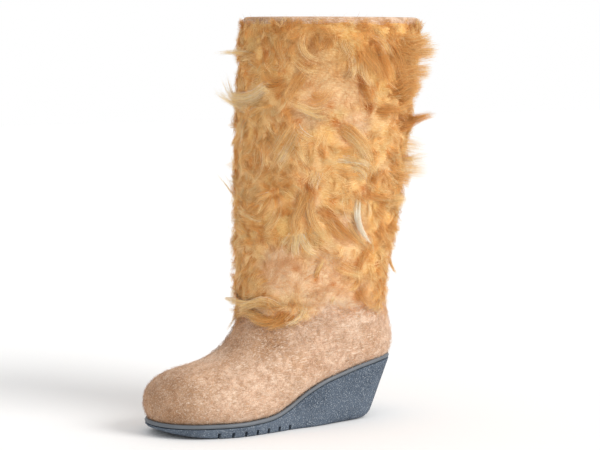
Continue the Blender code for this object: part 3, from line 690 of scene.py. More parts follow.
def fan_faces(pole, start, count, turned):
    """Triangles from a ring of points to a pole."""
    here = start + np.arange(count)
    after = start + (np.arange(count) + 1) % count
    poles = np.full(count, pole)
    order = [poles, here, after] if turned else [poles, after, here]
    return np.stack(order, axis=-1)


# Felt body


def felt_relief(points, near_sole):
    """How far hand-pressed felt bulges and sinks, in metres along its normals."""
    relief = sum(height * lumps(points, size, seed) for size, height, seed in FELT_BULGES)
    return relief * ease(near_sole, 0.004, 0.018)


def make_felt_body():
    near_sole = BODY[..., 2] - seat(along_of(BODY))
    shoulder = BOOT_HEIGHT - COLLAR_ROUNDING
    outer = BODY + felt_relief(BODY, near_sole)[..., None] * BODY_NORMALS
    outer[-1, :, 2] = shoulder
    rim = []
    for step in np.linspace(0, math.pi, RIM_STEPS)[1:-1]:
        ring = BODY[-1] - FELT_WALL / 2 * (1 - math.cos(step)) * BODY_NORMALS[-1]
        ring = ring + FELT_WAVE * lumps(ring, 0.008, 9)[:, None] * BODY_NORMALS[-1]
        ring[:, 2] = shoulder + COLLAR_ROUNDING * math.sin(step) ** 0.7
        rim.append(ring)
    inner = BODY - FELT_WALL * BODY_NORMALS
    inner = inner + FELT_WAVE * lumps(inner, 0.014, 11)[..., None] * BODY_NORMALS
    inner[-1, :, 2] = shoulder
    wall = np.concatenate([outer, np.array(rim), inner[::-1][::INNER_STRIDE]])
    rows, count = wall.shape[:2]
    outer_pole = rows * count
    outer_tip = outer[0].mean(axis=0)
    outer_tip[1] = outer[0, :, 1].min() - 0.0001
    inner_tip = wall[-1].mean(axis=0)
    points = np.concatenate([wall.reshape(-1, 3), [outer_tip, inner_tip]])
    faces = [
        tube_faces(rows, count),
        fan_faces(outer_pole, 0, count, False),
        fan_faces(outer_pole + 1, (rows - 1) * count, count, True),
    ]
    piece = make_mesh("felt_body", points, faces, felt_material(), "upper")
    add_tint(piece, felt_tints_and_shade(points))


def felt_tints_and_shade(points):
    """Pink-beige felt with browner clouds and warm patches, and painted shade over the toe and the
    instep.
    """
    # The toe and instep terms darken the felt towards tan as painted shade; the cloud and the warm
    # patches are the felt's own uneven colour.
    toe = ease(-points[:, 1], 0.070, 0.135)
    instep = ease(-points[:, 1], -0.035, 0.030) * ease(points[:, 2], 0.055, 0.085)
    cloud = 0.5 + 0.5 * lumps(points, 0.013, 19)
    brown = np.clip(toe + 0.85 * instep + 0.50 * cloud - 0.28, 0, 1)[:, None]
    warm = np.clip(lumps(points, 0.021, 23), 0, 1)[:, None]
    return blend(blend(FELT_PINK, FELT_TAN, brown), FELT_WARM, 0.65 * warm)


# Sole, welt and insole


def feather_sides(height, inset=0.0):
    """Where the felt stands at a height over its seat: (outer side, inner side) in plan.

    Both sides run from the toe to the heel and share their first and last points.
    """
    grid = BODY - inset * BODY_NORMALS
    level = grid[..., 2] - seat(along_of(grid)) - height
    half = AROUND // 2
    found = []
    for loop, over in zip(grid, level):
        pair = []
        for walk in (np.arange(0, half), np.arange(AROUND, half, -1) % AROUND):
            rising = np.flatnonzero((over[walk[:-1]] <= 0) & (over[walk[1:]] > 0))
            if len(rising):
                a, b = walk[rising[0]], walk[rising[0] + 1]
                share = over[a] / (over[a] - over[b])
                pair.append(blend(loop[a, :2], loop[b, :2], share))
        if len(pair) == 2:
            found.append(pair)
    sides = np.array(found)
    toe = sides[0].mean(axis=0)
    heel = sides[-1].mean(axis=0)
    toe[1] = sides[:, :, 1].min() - 0.0002
    heel[1] = sides[:, :, 1].max() + 0.0002
    outer, inner = (np.concatenate([[toe], sides[:, k], [heel]]) for k in (0, 1))
    steps = np.linalg.norm(np.diff(outer, axis=0), axis=1)
    steps += np.linalg.norm(np.diff(inner, axis=0), axis=1)
    length = np.concatenate([[0], np.cumsum(steps)])
    even = np.linspace(0, length[-1], STATIONS)
    return [
        np.column_stack([np.interp(even, length, side[:, k]) for k in (0, 1)])
        for side in (outer, inner)
    ]


def closed_loop(outer, inner):
    """One closed outline from its two sides, which share their ends."""
    return np.concatenate([outer, inner[-2:0:-1]])


def loop_normals(loop):
    along = np.roll(loop, -1, axis=0) - np.roll(loop, 1, axis=0)
    normals = unit(np.column_stack([-along[:, 1], along[:, 0]]))
    for _ in range(8):
        normals = unit(normals + 0.5 * neighbours(normals))
    return normals * np.sign(((loop - loop.mean(axis=0)) * normals).sum())


def even_loop(loop):
    """The outline with its small kinks smoothed away."""
    for _ in range(6):
        loop = 0.5 * loop + 0.25 * neighbours(loop)
    return loop


def welt_loop():
    """The welt's outer edge, all round from the toe over the outer side."""
    loop = even_loop(closed_loop(*feather_sides(WELT_HEIGHT + SEAT_DEPTH)))
    heelward = np.clip(1 - along_of(loop) / (0.5 * FOOT_LENGTH), 0, 1)
    overhang = WELT_OVERHANG * (1 - 0.6 * heelward)
    return loop + loop_normals(loop) * overhang[:, None]


def moved(loop, distance):
    return loop + loop_normals(loop) * np.reshape(distance, (-1, 1))


def ladder_faces(first, count, way):
    """Faces across a closed outline, between its two sides; way is -1 where they face down."""
    half = count // 2
    quads = [
        (first + k, first + k + 1, first + count - k - 1, first + count - k) for k in range(1, half - 1)
    ]
    ends = [(first, first + 1, first + count - 1), (first + half - 1, first + half, first + half + 1)]
    return [np.array(quads)[:, ::way], np.array(ends)[:, ::way]]


def stack_faces(rows, count):
    """Faces of a closed body that is made of outlines, stacked from its underside up."""
    top = (rows - 1) * count
    return [tube_faces(rows, count), *ladder_faces(0, count, -1), *ladder_faces(top, count, 1)]


def sole_floor(along):
    """Height of the sole's underside, flat from the heel to where the toe spring begins."""
    start = TOE_BREAK * FOOT_LENGTH
    share = np.clip((np.asarray(along) - start) / (FOOT_LENGTH - start), 0, None)
    return TOE_SPRING * share**2


def sole_levels():
    """The outlines of the wedge from its underside up, as rows of points."""
    outline = welt_loop()
    near_heel = np.clip(1 - along_of(outline) / (HEEL_REACH * FOOT_LENGTH), 0, 1)
    taper = SIDE_TAPER * (0.35 + 0.65 * near_heel)
    corner = SOLE_CORNER * (0.30 + 0.70 * near_heel)

    def level(inset, tuck):
        """An outline set in from the top one and tucked under at the heel, its floor and height."""
        loop = outline.copy()
        loop[:, 1] -= tuck * HEEL_UNDERCUT * near_heel**1.6
        loop = moved(loop, -inset)
        low = sole_floor(along_of(loop))
        return loop, low, wedge_top(along_of(loop)) - low

    rows = []
    for share in np.linspace(0, 1, 8):
        turn = math.pi / 2 * share
        loop, low, tall = level(taper + corner * (1 - math.sin(turn)), 1.0 - 0.15 * share**2)
        rise = corner * (1 - math.cos(turn))
        rise = np.minimum(rise, CORNER_LIMIT * tall * rise / corner)
        rows.append(np.column_stack([loop, low + rise]))
    for share in np.linspace(0, 1, 9)[1:]:
        loop, low, tall = level(taper * (1 - share), 0.85 * (1 - share))
        start = np.minimum(corner, CORNER_LIMIT * tall)
        rows.append(np.column_stack([loop, low + blend(start, tall - SOLE_EDGE, share)]))
    edge = 0.3 * SOLE_EDGE
    for inset, drop in ((edge, edge), (SOLE_EDGE, 0), (0.0026, 0), (0.0028, 0.0015)):
        loop = moved(outline, -inset)
        rows.append(np.column_stack([loop, wedge_top(along_of(loop)) - drop]))
    return np.array(rows)


def groove_boxes():
    """Corners and faces of the tread grooves: open ones across the forefoot, closed at the heel."""
    boxes = []
    for k in range(GROOVE_COUNT):
        along = FIRST_GROOVE * FOOT_LENGTH - k * GROOVE_PITCH
        boxes.append((along, BALL_WIDTH, float(sole_floor(along))))
    for k in range(HEEL_GROOVE_COUNT):
        along = HEEL_GROOVE_START * FOOT_LENGTH + k * GROOVE_PITCH
        boxes.append((along, 0.33 * BALL_WIDTH - HEEL_GROOVE_MARGIN, 0.0))
    points = []
    faces = []
    for along, half_width, floor in boxes:
        middle = FOOT_LENGTH / 2 - along
        start = len(points)
        for z in (floor - 0.02, floor + GROOVE_DEPTH):
            for x, y in ((-1, -1), (1, -1), (1, 1), (-1, 1)):
                points.append((x * half_width, middle + y * GROOVE_WIDTH / 2, z))
        for face in BOX_FACES:
            faces.append([start + v for v in face])
    return points, faces


def make_wedge():
    rows = sole_levels()
    faces = stack_faces(*rows.shape[:2])
    wedge = make_mesh("wedge", rows, faces, rubber_material(), "wedge_sole")
    points, box_faces = groove_boxes()
    cutter_mesh = bpy.data.meshes.new("cutter")
    cutter_mesh.from_pydata(points, [], box_faces)
    cutter = new_object("cutter", cutter_mesh)
    cut = wedge.modifiers.new("grooves", "BOOLEAN")
    cut.operation = "DIFFERENCE"
    cut.solver = "EXACT"
    cut.object = cutter
    bpy.context.view_layer.update()
    seen = wedge.evaluated_get(bpy.context.evaluated_depsgraph_get())
    carved = bpy.data.meshes.new_from_object(seen)
    wedge.modifiers.remove(cut)
    wedge.data = carved
    carved.set_sharp_from_angle(angle=math.radians(38))
    bpy.data.objects.remove(cutter, do_unlink=True)


def make_welt():
    """The smooth rubber strip round the felt's lower edge, with a fine open joint under it."""
    outline = welt_loop()
    profile = []
    for angle in np.linspace(-90, 90, 11):
        turn = math.radians(angle)
        height = blend(WELT_JOINT, WELT_TOP, 0.5 + 0.5 * math.sin(turn))
        profile.append((-WELT_BULGE * abs(math.sin(turn)) ** 2.6, height))
    profile += [(-0.0024, WELT_TOP + 0.0002), (-WELT_DEPTH, WELT_TOP - 0.0004)]
    profile += [(-WELT_DEPTH, WELT_JOINT), (-0.0016, WELT_JOINT)]
    rows = []
    for out, up in profile:
        loop = moved(outline, out + 0.0004 * (up < 0.5 * WELT_HEIGHT))
        wave = 0.00012 * lumps(np.column_stack([loop, loop[:, 0] * 0]), 0.02, 13)
        rows.append(np.column_stack([loop, wedge_top(along_of(loop)) + up + wave]))
    count = len(outline)
    faces = tube_faces(len(rows) + 1, count) % (len(rows) * count)
    make_mesh("welt_strip", np.array(rows), [faces], welt_material(), "welt")


def make_insole():
    """The loose felt insole, its top sunk a little and unevenly towards its middle line."""
    bottom = even_loop(closed_loop(*feather_sides(FELT_WALL + 0.0015, FELT_WALL + 0.0012)))
    top = even_loop(closed_loop(*feather_sides(FELT_WALL + 0.005, FELT_WALL + 0.0008)))
    under = FELT_WALL + 0.0004
    over = under + INSOLE_THICKNESS
    rows = []
    for loop, lift in (
        (moved(bottom, -0.001), under),
        (bottom, under + 0.0006),
        (top, over - 0.0008),
        (moved(top, -0.0012), over),
    ):
        rows.append(np.column_stack([loop, seat(along_of(loop)) + lift]))
    count = len(top)
    middle = 0.5 * (top + top[(-np.arange(count)) % count])
    for share in (0.85, 0.6, 0.35, 0.12):
        loop = blend(middle, top, share)
        points = np.column_stack([loop, seat(along_of(loop)) + over])
        points[:, 2] -= 0.0012 * (1 - share) * (0.5 + 0.5 * lumps(points, 0.05, 15))
        rows.append(points)
    faces = stack_faces(len(rows), count)
    make_mesh("insole_felt", np.array(rows), faces, insole_material(), "insole")


# Fur


def felt_distance(turn, height, centre, up, girth):
    """Distance over the felt between places given by their turns and heights."""
    around = ((turn - centre + 0.5) % 1.0 - 0.5) * girth
    return np.hypot(around, height - up)


def patch_share(patches, turn, height, core, rim):
    """1 in the middle of any of the patches and 0 away from all of them."""
    most = np.zeros(np.broadcast(turn, height).shape)
    for centre, up, size in patches:
        distance = felt_distance(turn, height, centre, up, SHAFT.girth(up))
        most = np.maximum(most, 1 - ease(distance, core * size, rim * size))
    return most


def bareness(turn, height):
    """How much the felt shows through the fur."""
    return patch_share(BARE_PATCHES, turn, height, 0.35, 1.25)


def spot_share(turn, height):
    """How much the fur is an orange-brown root."""
    return patch_share(ROOT_SPOTS, turn, height, 0.2, 1.1)


def hem_height(turn):
    """Height of the fur's lower edge."""
    angle = 2 * math.pi * np.asarray(turn)
    wave = 0.0035 * np.sin(5 * angle) + 0.0025 * np.sin(11 * angle + 1.0)
    front = 0.004 * np.exp(-(((np.asarray(turn) - 0.38) / 0.05) ** 2))
    return FUR_HEM + wave - front


def ribbon_mesh(name, centres, normals, widths, twists, tints):
    """Hairs as flat ribbons that taper to a point, in one mesh."""
    hairs, steps = centres.shape[:2]
    turn = twists[:, None, None]
    tangents = unit(np.gradient(centres, axis=1))
    sides = unit(np.cross(tangents, normals))
    sides = sides * np.cos(turn) + np.cross(sides, tangents) * np.sin(turn)
    half = 0.5 * widths[..., None]
    left = centres - sides * half
    right = centres + sides * half
    points = np.stack([left[:, :-1], right[:, :-1]], axis=2).reshape(hairs, 2 * (steps - 1), 3)
    points = np.concatenate([points, centres[:, -1:]], axis=1)
    each = 2 * (steps - 1) + 1
    first = np.arange(hairs)[:, None] * each
    row = 2 * np.arange(steps - 2)[None, :]
    quads = np.stack([first + row, first + row + 1, first + row + 3, first + row + 2], axis=-1)
    last = first[:, 0] + each - 3
    tips = np.stack([last, last + 1, last + 2], axis=-1)
    faces = [quads.reshape(-1, 4), tips]
    piece = make_mesh(name, points, faces, hair_material(), "fur")
    add_tint(piece, np.concatenate([np.repeat(tints[:, :-1], 2, axis=1), tints[:, -1:]], axis=1))


def hair_tints(tone, along, light):
    """Colours along hairs: brown at the root, then golden, then cream as far as tone says."""
    tone = tone[:, None, None]
    along = along[..., None]
    root = blend(HAIR_BROWN, HAIR_ORANGE, ease(tone, 0.0, 0.5))
    body = blend(HAIR_ORANGE, HAIR_GOLD, ease(tone, 0.05, 0.55))
    body = blend(body, HAIR_CREAM, ease(tone, 0.55, 1.15))
    tip = blend(HAIR_GOLD, HAIR_CREAM, ease(tone, 0.25, 0.95))
    tint = blend(root, body, ease(along + 0.26 * tone, 0.02, 0.30))
    tint = blend(tint, tip, ease(along + 0.2 * tone, 0.35, 0.95))
    return blend(tint, HAIR_WHITE, ease(tone, 1.05, 1.3)) * light[:, None, None]


def under_rim(rng, height):
    """Folds hairs back down where they would stand up over the collar, each at its own height."""
    limit = FUR_TOP + rng.uniform(-0.001, 0.005, (len(height), 1))
    return height - 1.5 * np.maximum(height - limit, 0)


def thicknesses(rng, count, least, most):
    """A thickness for each hair, as a column."""
    return rng.uniform(least, most, count)[:, None]


def lock_hairs(rng, lock):
    """The hairs of one lock, in wisps: (turn, height, lift) along each, and the share along it."""
    style = lock.style
    count = lock.hairs
    girth = float(SHAFT.girth(lock.path[:, 1].mean()))
    plan = lock.path * np.array([girth, 1.0, 1.0])
    knots = np.concatenate([[0], np.cumsum(np.linalg.norm(np.diff(plan[:, :2], axis=0), axis=1))])
    knots = knots / knots[-1]
    wisps = max(3, count // style.wisp)
    wisp = rng.integers(0, wisps, count)
    root_side = rng.uniform(-1, 1, wisps)
    root_rise = rng.uniform(0, 1, wisps)[wisp][:, None]
    tip_side = (0.6 * root_side + rng.uniform(-0.7, 0.7, wisps))[wisp][:, None]
    root_side = root_side[wisp][:, None]
    wisp_end = rng.uniform(*style.ends, wisps)[wisp]
    wisp_lift = rng.uniform(*style.lifts, wisps)[wisp][:, None]
    swell = (rng.uniform(-1, 1, wisps) * 0.35)[wisp][:, None]
    start = rng.uniform(0.0, 0.25, count)
    end = np.clip(wisp_end * rng.normal(1.0, 0.05, count), 0.5, 1.0)
    along = np.linspace(0, 1, LOCK_STEPS)[None, :]
    where = blend(start[:, None], end[:, None], along)
    centre = smooth(where, knots, plan)
    ahead = smooth(np.clip(where + 0.03, 0, 1), knots, plan)
    behind = smooth(np.clip(where - 0.03, 0, 1), knots, plan)
    way = unit((ahead - behind)[..., :2])
    across = np.stack([-way[..., 1], way[..., 0]], axis=-1)
    own = rng.normal(0, style.scatter, count)[:, None] * (1 - 0.5 * where**0.7)
    loose = (rng.uniform(0, 1, count) < 0.25) * rng.normal(0, 0.6, count)
    side = blend(root_side, lock.fan * tip_side, where) + swell * np.sin(3.1 * where) + own
    side = side + loose[:, None] * along**1.6
    plan_points = centre[..., :2] + across * (0.5 * lock.spread * side)[..., None]
    rise = np.abs(root_rise + rng.normal(0, 0.25, count)[:, None])
    lift = centre[..., 2] * (0.5 + 0.5 * along) * wisp_lift
    lift = lift + 0.30 * lock.spread * rise * (1 - 0.75 * where) * ease(along, 0, 0.3)
    lift = blend(0.0010, lift, ease(along, 0, 0.22))
    out = np.concatenate([plan_points, lift[..., None]], axis=-1)
    out[..., 0] /= girth
    out[..., 1] = under_rim(rng, out[..., 1])
    return out, where


def bent_path(turn, height, heading, bend, length, rise, power):
    """A lock's path from its root on, which turns steadily and rises off the felt."""
    girth = float(SHAFT.girth(height))
    path = [(turn, height, ROOT_LIFT)]
    for step in range(1, 5):
        angle = math.radians(heading + bend * step)
        turn += length / 4 * math.cos(angle) / girth
        height += length / 4 * math.sin(angle)
        path.append((turn, height, blend(ROOT_LIFT, rise, (step / 4) ** power)))
    return np.array(path)


def nearest(places, turn, height):
    """Distance over the felt from a place to the nearest of some others."""
    return felt_distance(places[:, 0], places[:, 1], turn, height, float(SHAFT.girth(height))).min()


def filler_locks(rng):
    """Locks all round the shaft between the listed ones, mostly away from them."""
    made = []
    while len(made) < FILLERS:
        turn = rng.uniform(0, 1)
        height = rng.uniform(float(hem_height(turn)) + 0.004, FUR_TOP - 0.004)
        if nearest(LISTED, turn, height) < 0.010 or rng.uniform() < 0.92 * bareness(turn, height):
            continue
        heading = rng.normal(-95, 62)
        bend = rng.normal(0, 34)
        length = rng.uniform(0.014, 0.038)
        tone = np.clip(rng.normal(0.62, 0.22), 0.25, 1.0)
        if rng.uniform() < 0.16:
            length = rng.uniform(0.032, 0.052)
            tone = rng.uniform(0.70, 0.95)
        rise = rng.uniform(0.0045, 0.0125) if rng.uniform() < 0.45 else rng.uniform(0.003, 0.006)
        path = bent_path(turn, height, heading, bend, length, rise, 1.4)
        spread = rng.uniform(0.005, 0.013)
        hairs = int(rng.uniform(34, 88))
        made.append(Lock(tone, spread, hairs, path, rng.uniform(0.4, 1.0)))
    return made


def tuft_locks(rng):
    """Thick tufts that stand out from the sides away from the photograph's camera."""
    places = LISTED
    made = []
    while len(made) < TUFTS:
        turn = rng.uniform(0.59, 1.06) % 1.0
        height = rng.uniform(float(hem_height(turn)) + 0.020, FUR_TOP - 0.006)
        if nearest(places, turn, height) < 0.015 or rng.uniform() < 0.8 * bareness(turn, height):
            continue
        places = np.vstack([places, (turn, height)])
        heading = rng.normal(-80, 40)
        bend = rng.normal(0, 16)
        length = rng.uniform(0.015, 0.026)
        path = bent_path(turn, height, heading, bend, length, rng.uniform(0.009, 0.0155), 1.2)
        tone = np.clip(rng.normal(0.58, 0.18), 0.25, 0.95)
        made.append(Lock(tone, rng.uniform(0.009, 0.015), TUFT_HAIRS, path, 0.9, STEADY))
    return made


def make_locks():
    rng = np.random.default_rng(11)
    groups = {"locks": LOCKS, "side_locks": filler_locks(rng)}
    groups["tufts"] = tuft_locks(np.random.default_rng(17))
    for name, locks in groups.items():
        places, alongs, tones = [], [], []
        for lock in locks:
            place, along = lock_hairs(rng, lock)
            places.append(place)
            alongs.append(along)
            tones.append(np.clip(lock.tone + rng.normal(0, lock.style.vary, lock.hairs), 0, 1.3))
        place = np.concatenate(places)
        tone = np.concatenate(tones)
        centres, normals = SHAFT.place(place[..., 0], place[..., 1], place[..., 2])
        count = len(centres)
        centres = centres + hair_jitter(rng, count, LOCK_STEPS)
        thick = thicknesses(rng, count, 0.00016, 0.00028) * (1 + 0.35 * ease(tone, 1.1, 1.3))[:, None]
        widths = thick * (1 - 0.72 * np.linspace(0, 1, LOCK_STEPS)[None, :] ** 1.5)
        twists = rng.uniform(-0.9, 0.9, count)
        tints = hair_tints(tone, np.concatenate(alongs), rng.uniform(0.80, 1.12, count))
        ribbon_mesh(name, centres, normals, widths, twists, tints)


def hair_jitter(rng, count, steps):
    """Small smooth wanderings of each hair, which grow towards its tip."""
    t = np.linspace(0, 1, steps)[None, :, None]
    phase = rng.uniform(0, 2 * math.pi, (count, 1, 3))
    pace = rng.uniform(3, 9, (count, 1, 3))
    return 0.0003 * np.sin(phase + pace * t) * t


def listed_flow(turn, height):
    """The way the listed locks comb the fur about them, as a vector in the felt's plan."""
    flow = np.zeros((len(turn), 2))
    for lock in LOCKS:
        girth = float(SHAFT.girth(lock.path[:, 1].mean()))
        way = unit((lock.path[-1, :2] - lock.path[0, :2]) * np.array([girth, 1.0]))
        for centre, up, _ in lock.path[:-1]:
            distance = felt_distance(turn, height, centre, up, girth)
            flow += np.exp(-((distance / 0.010) ** 2))[:, None] * way
    return flow


def clump_places(rng):
    """Where the undercoat's clumps grow: their turns and heights, fewer on the bare patches."""
    turn = rng.uniform(0, 1, 2 * CLUMPS)
    low = hem_height(turn)
    share = rng.uniform(0, 1.04, 2 * CLUMPS)
    share = np.where(share > 1, 1 - 0.9 * (share - 1), share)
    height = low - 0.002 + share * (FUR_TOP + 0.002 - low)
    keep = rng.uniform(0, 1, 2 * CLUMPS) > 0.35 * bareness(turn, height)
    return turn[keep][:CLUMPS], height[keep][:CLUMPS]


def make_undercoat(name, rng):
    """Short curly hairs that cover the mat, in clumps."""
    turn, height = clump_places(rng)
    count = len(turn)
    roots, _ = SHAFT.place(turn, height, np.zeros(count))
    bare = bareness(turn, height)
    spot = spot_share(turn, height)
    edge = ease(height - hem_height(turn), -0.002, 0.022)
    wander = np.radians(-100 + 150 * lumps(roots, 0.030, 21) + rng.normal(0, 35, count))
    flow = 0.6 * np.column_stack([np.cos(wander), np.sin(wander)]) + listed_flow(turn, height)
    at_top = height > FUR_TOP - 0.008
    heading = np.arctan2(flow[:, 1], flow[:, 0])
    heading = np.where(at_top, rng.uniform(0, 2 * math.pi, count), heading)
    bend = np.radians(rng.normal(0, 75, count)) * (1 + 1.2 * bare)
    length = rng.uniform(0.008, 0.019, count) * (1 - 0.35 * bare) * (0.5 + 0.5 * edge)
    rise = rng.uniform(0.0012, 0.0052, count) * (1 - 0.5 * bare) * (0.35 + 0.65 * edge)
    spread = rng.uniform(0.0014, 0.0034, count) * (1 + 1.6 * bare + 1.2 * (1 - edge))
    tone = 0.50 + 0.20 * gold_share(roots, bare) + rng.normal(0, 0.27, count) * (1 - 0.3 * bare)
    tone = np.clip(tone - 0.42 * spot - 0.20 * ease(height, 0.32, 0.37), 0.08, 1)
    light = rng.uniform(0.76, 1.12, count)
    pink = np.clip(0.68 * bare + 0.6 * (1 - edge), 0, 0.8) * (1 - spot)

    def each(values):
        """A clump's value for each of its hairs, as a column."""
        return np.repeat(values, CLUMP_HAIRS)[:, None]

    total = count * CLUMP_HAIRS
    t = np.linspace(0, 1, CURL_STEPS)[None, :]
    reach = (t * rng.uniform(0.65, 1.1, total)[:, None]).clip(0, 1.05)
    turning = each(bend) + np.radians(rng.normal(0, 14, total))[:, None]
    turning = np.where(np.abs(turning) < 0.02, 0.02, turning)
    start = each(heading)
    x = each(length) * (np.sin(start + turning * reach) - np.sin(start)) / turning
    z = -each(length) * (np.cos(start + turning * reach) - np.cos(start)) / turning
    scatter = rng.normal(0, 1, (2, total, 1)) * each(spread) * (1 - 0.72 * t**0.8)
    u = each(turn) + (x + scatter[0]) / each(SHAFT.girth(height))
    v = under_rim(rng, each(height) + z + scatter[1])
    base = 0.0004 + 0.85 * np.maximum(mat_lift(each(turn), each(height)), 0)
    arch = np.sin(t * rng.uniform(1.3, 2.8, total)[:, None])
    lift = base + each(rise) * arch * rng.uniform(0.5, 1.25, total)[:, None]
    stray = (rng.uniform(0, 1, total) < 0.06) * rng.uniform(0.001, 0.004, total)
    centres, normals = SHAFT.place(u, v, lift + stray[:, None] * t)
    centres = centres + hair_jitter(rng, total, CURL_STEPS)
    widths = thicknesses(rng, total, 0.00018, 0.00032) * (1 - 0.7 * t**1.5)
    along = np.broadcast_to(0.13 + 0.87 * t, (total, CURL_STEPS))
    tones = np.clip(each(tone)[:, 0] + rng.normal(0, 0.07, total), 0, 1.1)
    tints = hair_tints(tones, along, each(light)[:, 0] * rng.uniform(0.9, 1.08, total))
    tints = blend(tints, fuzz_tint(each(height)), each(pink)[..., None])
    tints = blend(tints, HAIR_RUST, each(0.7 * spot)[..., None])
    ribbon_mesh(name, centres, normals, widths, rng.uniform(-1.2, 1.2, total), tints)


def fuzz_tint(height):
    """The short fur of the bare patches: pale low down, browner towards the collar."""
    return blend(FUZZ_LOW, FUZZ_TOP, ease(height, 0.26, 0.36)[..., None])


def gold_share(points, bare):
    """How golden the matted fur is at a point: 0 where it is as pink as the felt."""
    golden = 0.80 + 0.40 * lumps(points, 0.026, 31) + 0.18 * lumps(points, 0.009, 33)
    return np.clip(golden - 0.9 * bare, 0, 1)


def mat_lift(turn, height):
    """Thickness of the matted fur over the felt."""
    points, _ = SHAFT.place(turn, height, np.zeros(np.shape(turn)))
    lift = MAT_THICKNESS * (0.75 + 0.55 * lumps(points, 0.021, 41))
    lift = lift + 0.0011 * lumps(points, 0.0075, 43) + 0.0005 * lumps(points, 0.003, 45)
    lift = lift * (1 - 0.62 * bareness(turn, height))
    edge = ease(height - hem_height(turn), -0.002, 0.014) * ease(FUR_TOP - height, -0.002, 0.010)
    return np.maximum(lift, 0.0016) * edge - 0.0008 * (1 - edge)


def make_mat():
    """The matted base of the fur, felted into the shaft, which the hairs grow out of."""
    turn = np.linspace(0, 1, MAT_COLUMNS, endpoint=False)[None, :]
    share = np.linspace(0, 1, MAT_ROWS)[:, None]
    low = hem_height(turn) - 0.004
    height = low + share * (FUR_TOP + 0.002 - low)
    turn = np.broadcast_to(turn, height.shape)
    points, _ = SHAFT.place(turn, height, mat_lift(turn, height))
    points = points.reshape(-1, 3)
    turn = turn.ravel()
    height = height.ravel()
    golden = gold_share(points, bareness(turn, height))[:, None]
    streak = (0.5 + 0.5 * lumps(points * np.array([1, 1, 0.45]), 0.0022, 47))[:, None]
    gold = blend(HAIR_ORANGE, HAIR_GOLD * 0.9, 0.35 + 0.65 * streak)
    edge = ease(height - hem_height(turn), 0.0, 0.020)[:, None]
    plain = blend(fuzz_tint(height), FELT_PINK, 1 - edge)
    tint = blend(plain, gold, golden * edge)
    mottle = (lumps(points, 0.011, 49) + 0.8 * lumps(points, 0.0042, 51))[:, None]
    # Darker where the mat's lumps sink between the clumps: painted shade in the crevices.
    crevice_shade = ease(-lumps(points, 0.0075, 43), 0.1, 0.7)[:, None]
    tint = tint * (1 - 0.17 * mottle * edge) * (1 - 0.18 * crevice_shade * golden * edge)
    tint = blend(tint, HAIR_RUST, 0.9 * spot_share(turn, height)[:, None])
    faces = [tube_faces(MAT_ROWS, MAT_COLUMNS)]
    add_tint(make_mesh("fur_mat", points, faces, mat_material(), "fur"), tint)


def make_nap():
    """Fine loose fibres that stand off the felt of the foot and the collar."""
    rng = np.random.default_rng(7)
    around = np.roll(BODY, -1, axis=1) - BODY
    area = np.linalg.norm(around, axis=2)[:-1] * np.linalg.norm(np.diff(BODY, axis=0), axis=2)
    over_welt = (BODY[..., 2] - seat(along_of(BODY)))[:-1] > WELT_TOP + 0.0004
    under_fur = BODY[:-1, :, 2] > FUR_HEM + 0.004
    area = area * over_welt * np.where(under_fur, 0.12, 1.0)
    picked = rng.choice(area.size, NAP_FIBRES, p=(area / area.sum()).ravel())
    row, column = np.divmod(picked, AROUND)
    u, v = rng.uniform(0, 1, (2, NAP_FIBRES, 1))
    after = (column + 1) % AROUND
    near = blend(BODY[row, column], BODY[row, after], u)
    far = blend(BODY[row + 1, column], BODY[row + 1, after], u)
    roots = blend(near, far, v)
    normals = BODY_NORMALS[row, column]
    sideways = unit(around[row, column])
    angle = rng.uniform(0, 2 * math.pi, NAP_FIBRES)[:, None]
    way = sideways * np.cos(angle) + np.cross(normals, sideways) * np.sin(angle)
    bend = np.cross(normals, way) * rng.normal(0, 0.5, NAP_FIBRES)[:, None]
    length = rng.uniform(0.0022, 0.0068, NAP_FIBRES)[:, None]
    rise = rng.uniform(0.03, 0.36, NAP_FIBRES)[:, None]
    t = np.linspace(0, 1, NAP_STEPS)
    centres = [
        roots + length * (way * s + bend * s * s) + normals * (rise * length * math.sin(2.2 * s) + 0.0001)
        for s in t
    ]
    widths = thicknesses(rng, NAP_FIBRES, 0.00016, 0.00030) * (1 - 0.6 * t)
    mix = rng.uniform(0, 1, NAP_FIBRES)[:, None]
    # The fibres take the colour of the felt under them, the painted shade over the toe and the instep
    # included.
    own = felt_tints_and_shade(roots)
    tint = own * (0.72 + 0.38 * mix) + (FELT_PALE - own) * 0.55 * mix**2
    tints = np.repeat(tint[:, None, :], NAP_STEPS, axis=1)
    normals = np.repeat(normals[:, None, :], NAP_STEPS, axis=1)
    twists = rng.uniform(-1.2, 1.2, NAP_FIBRES)
    ribbon_mesh("felt_nap", np.stack(centres, axis=1), normals, widths, twists, tints)


# Materials


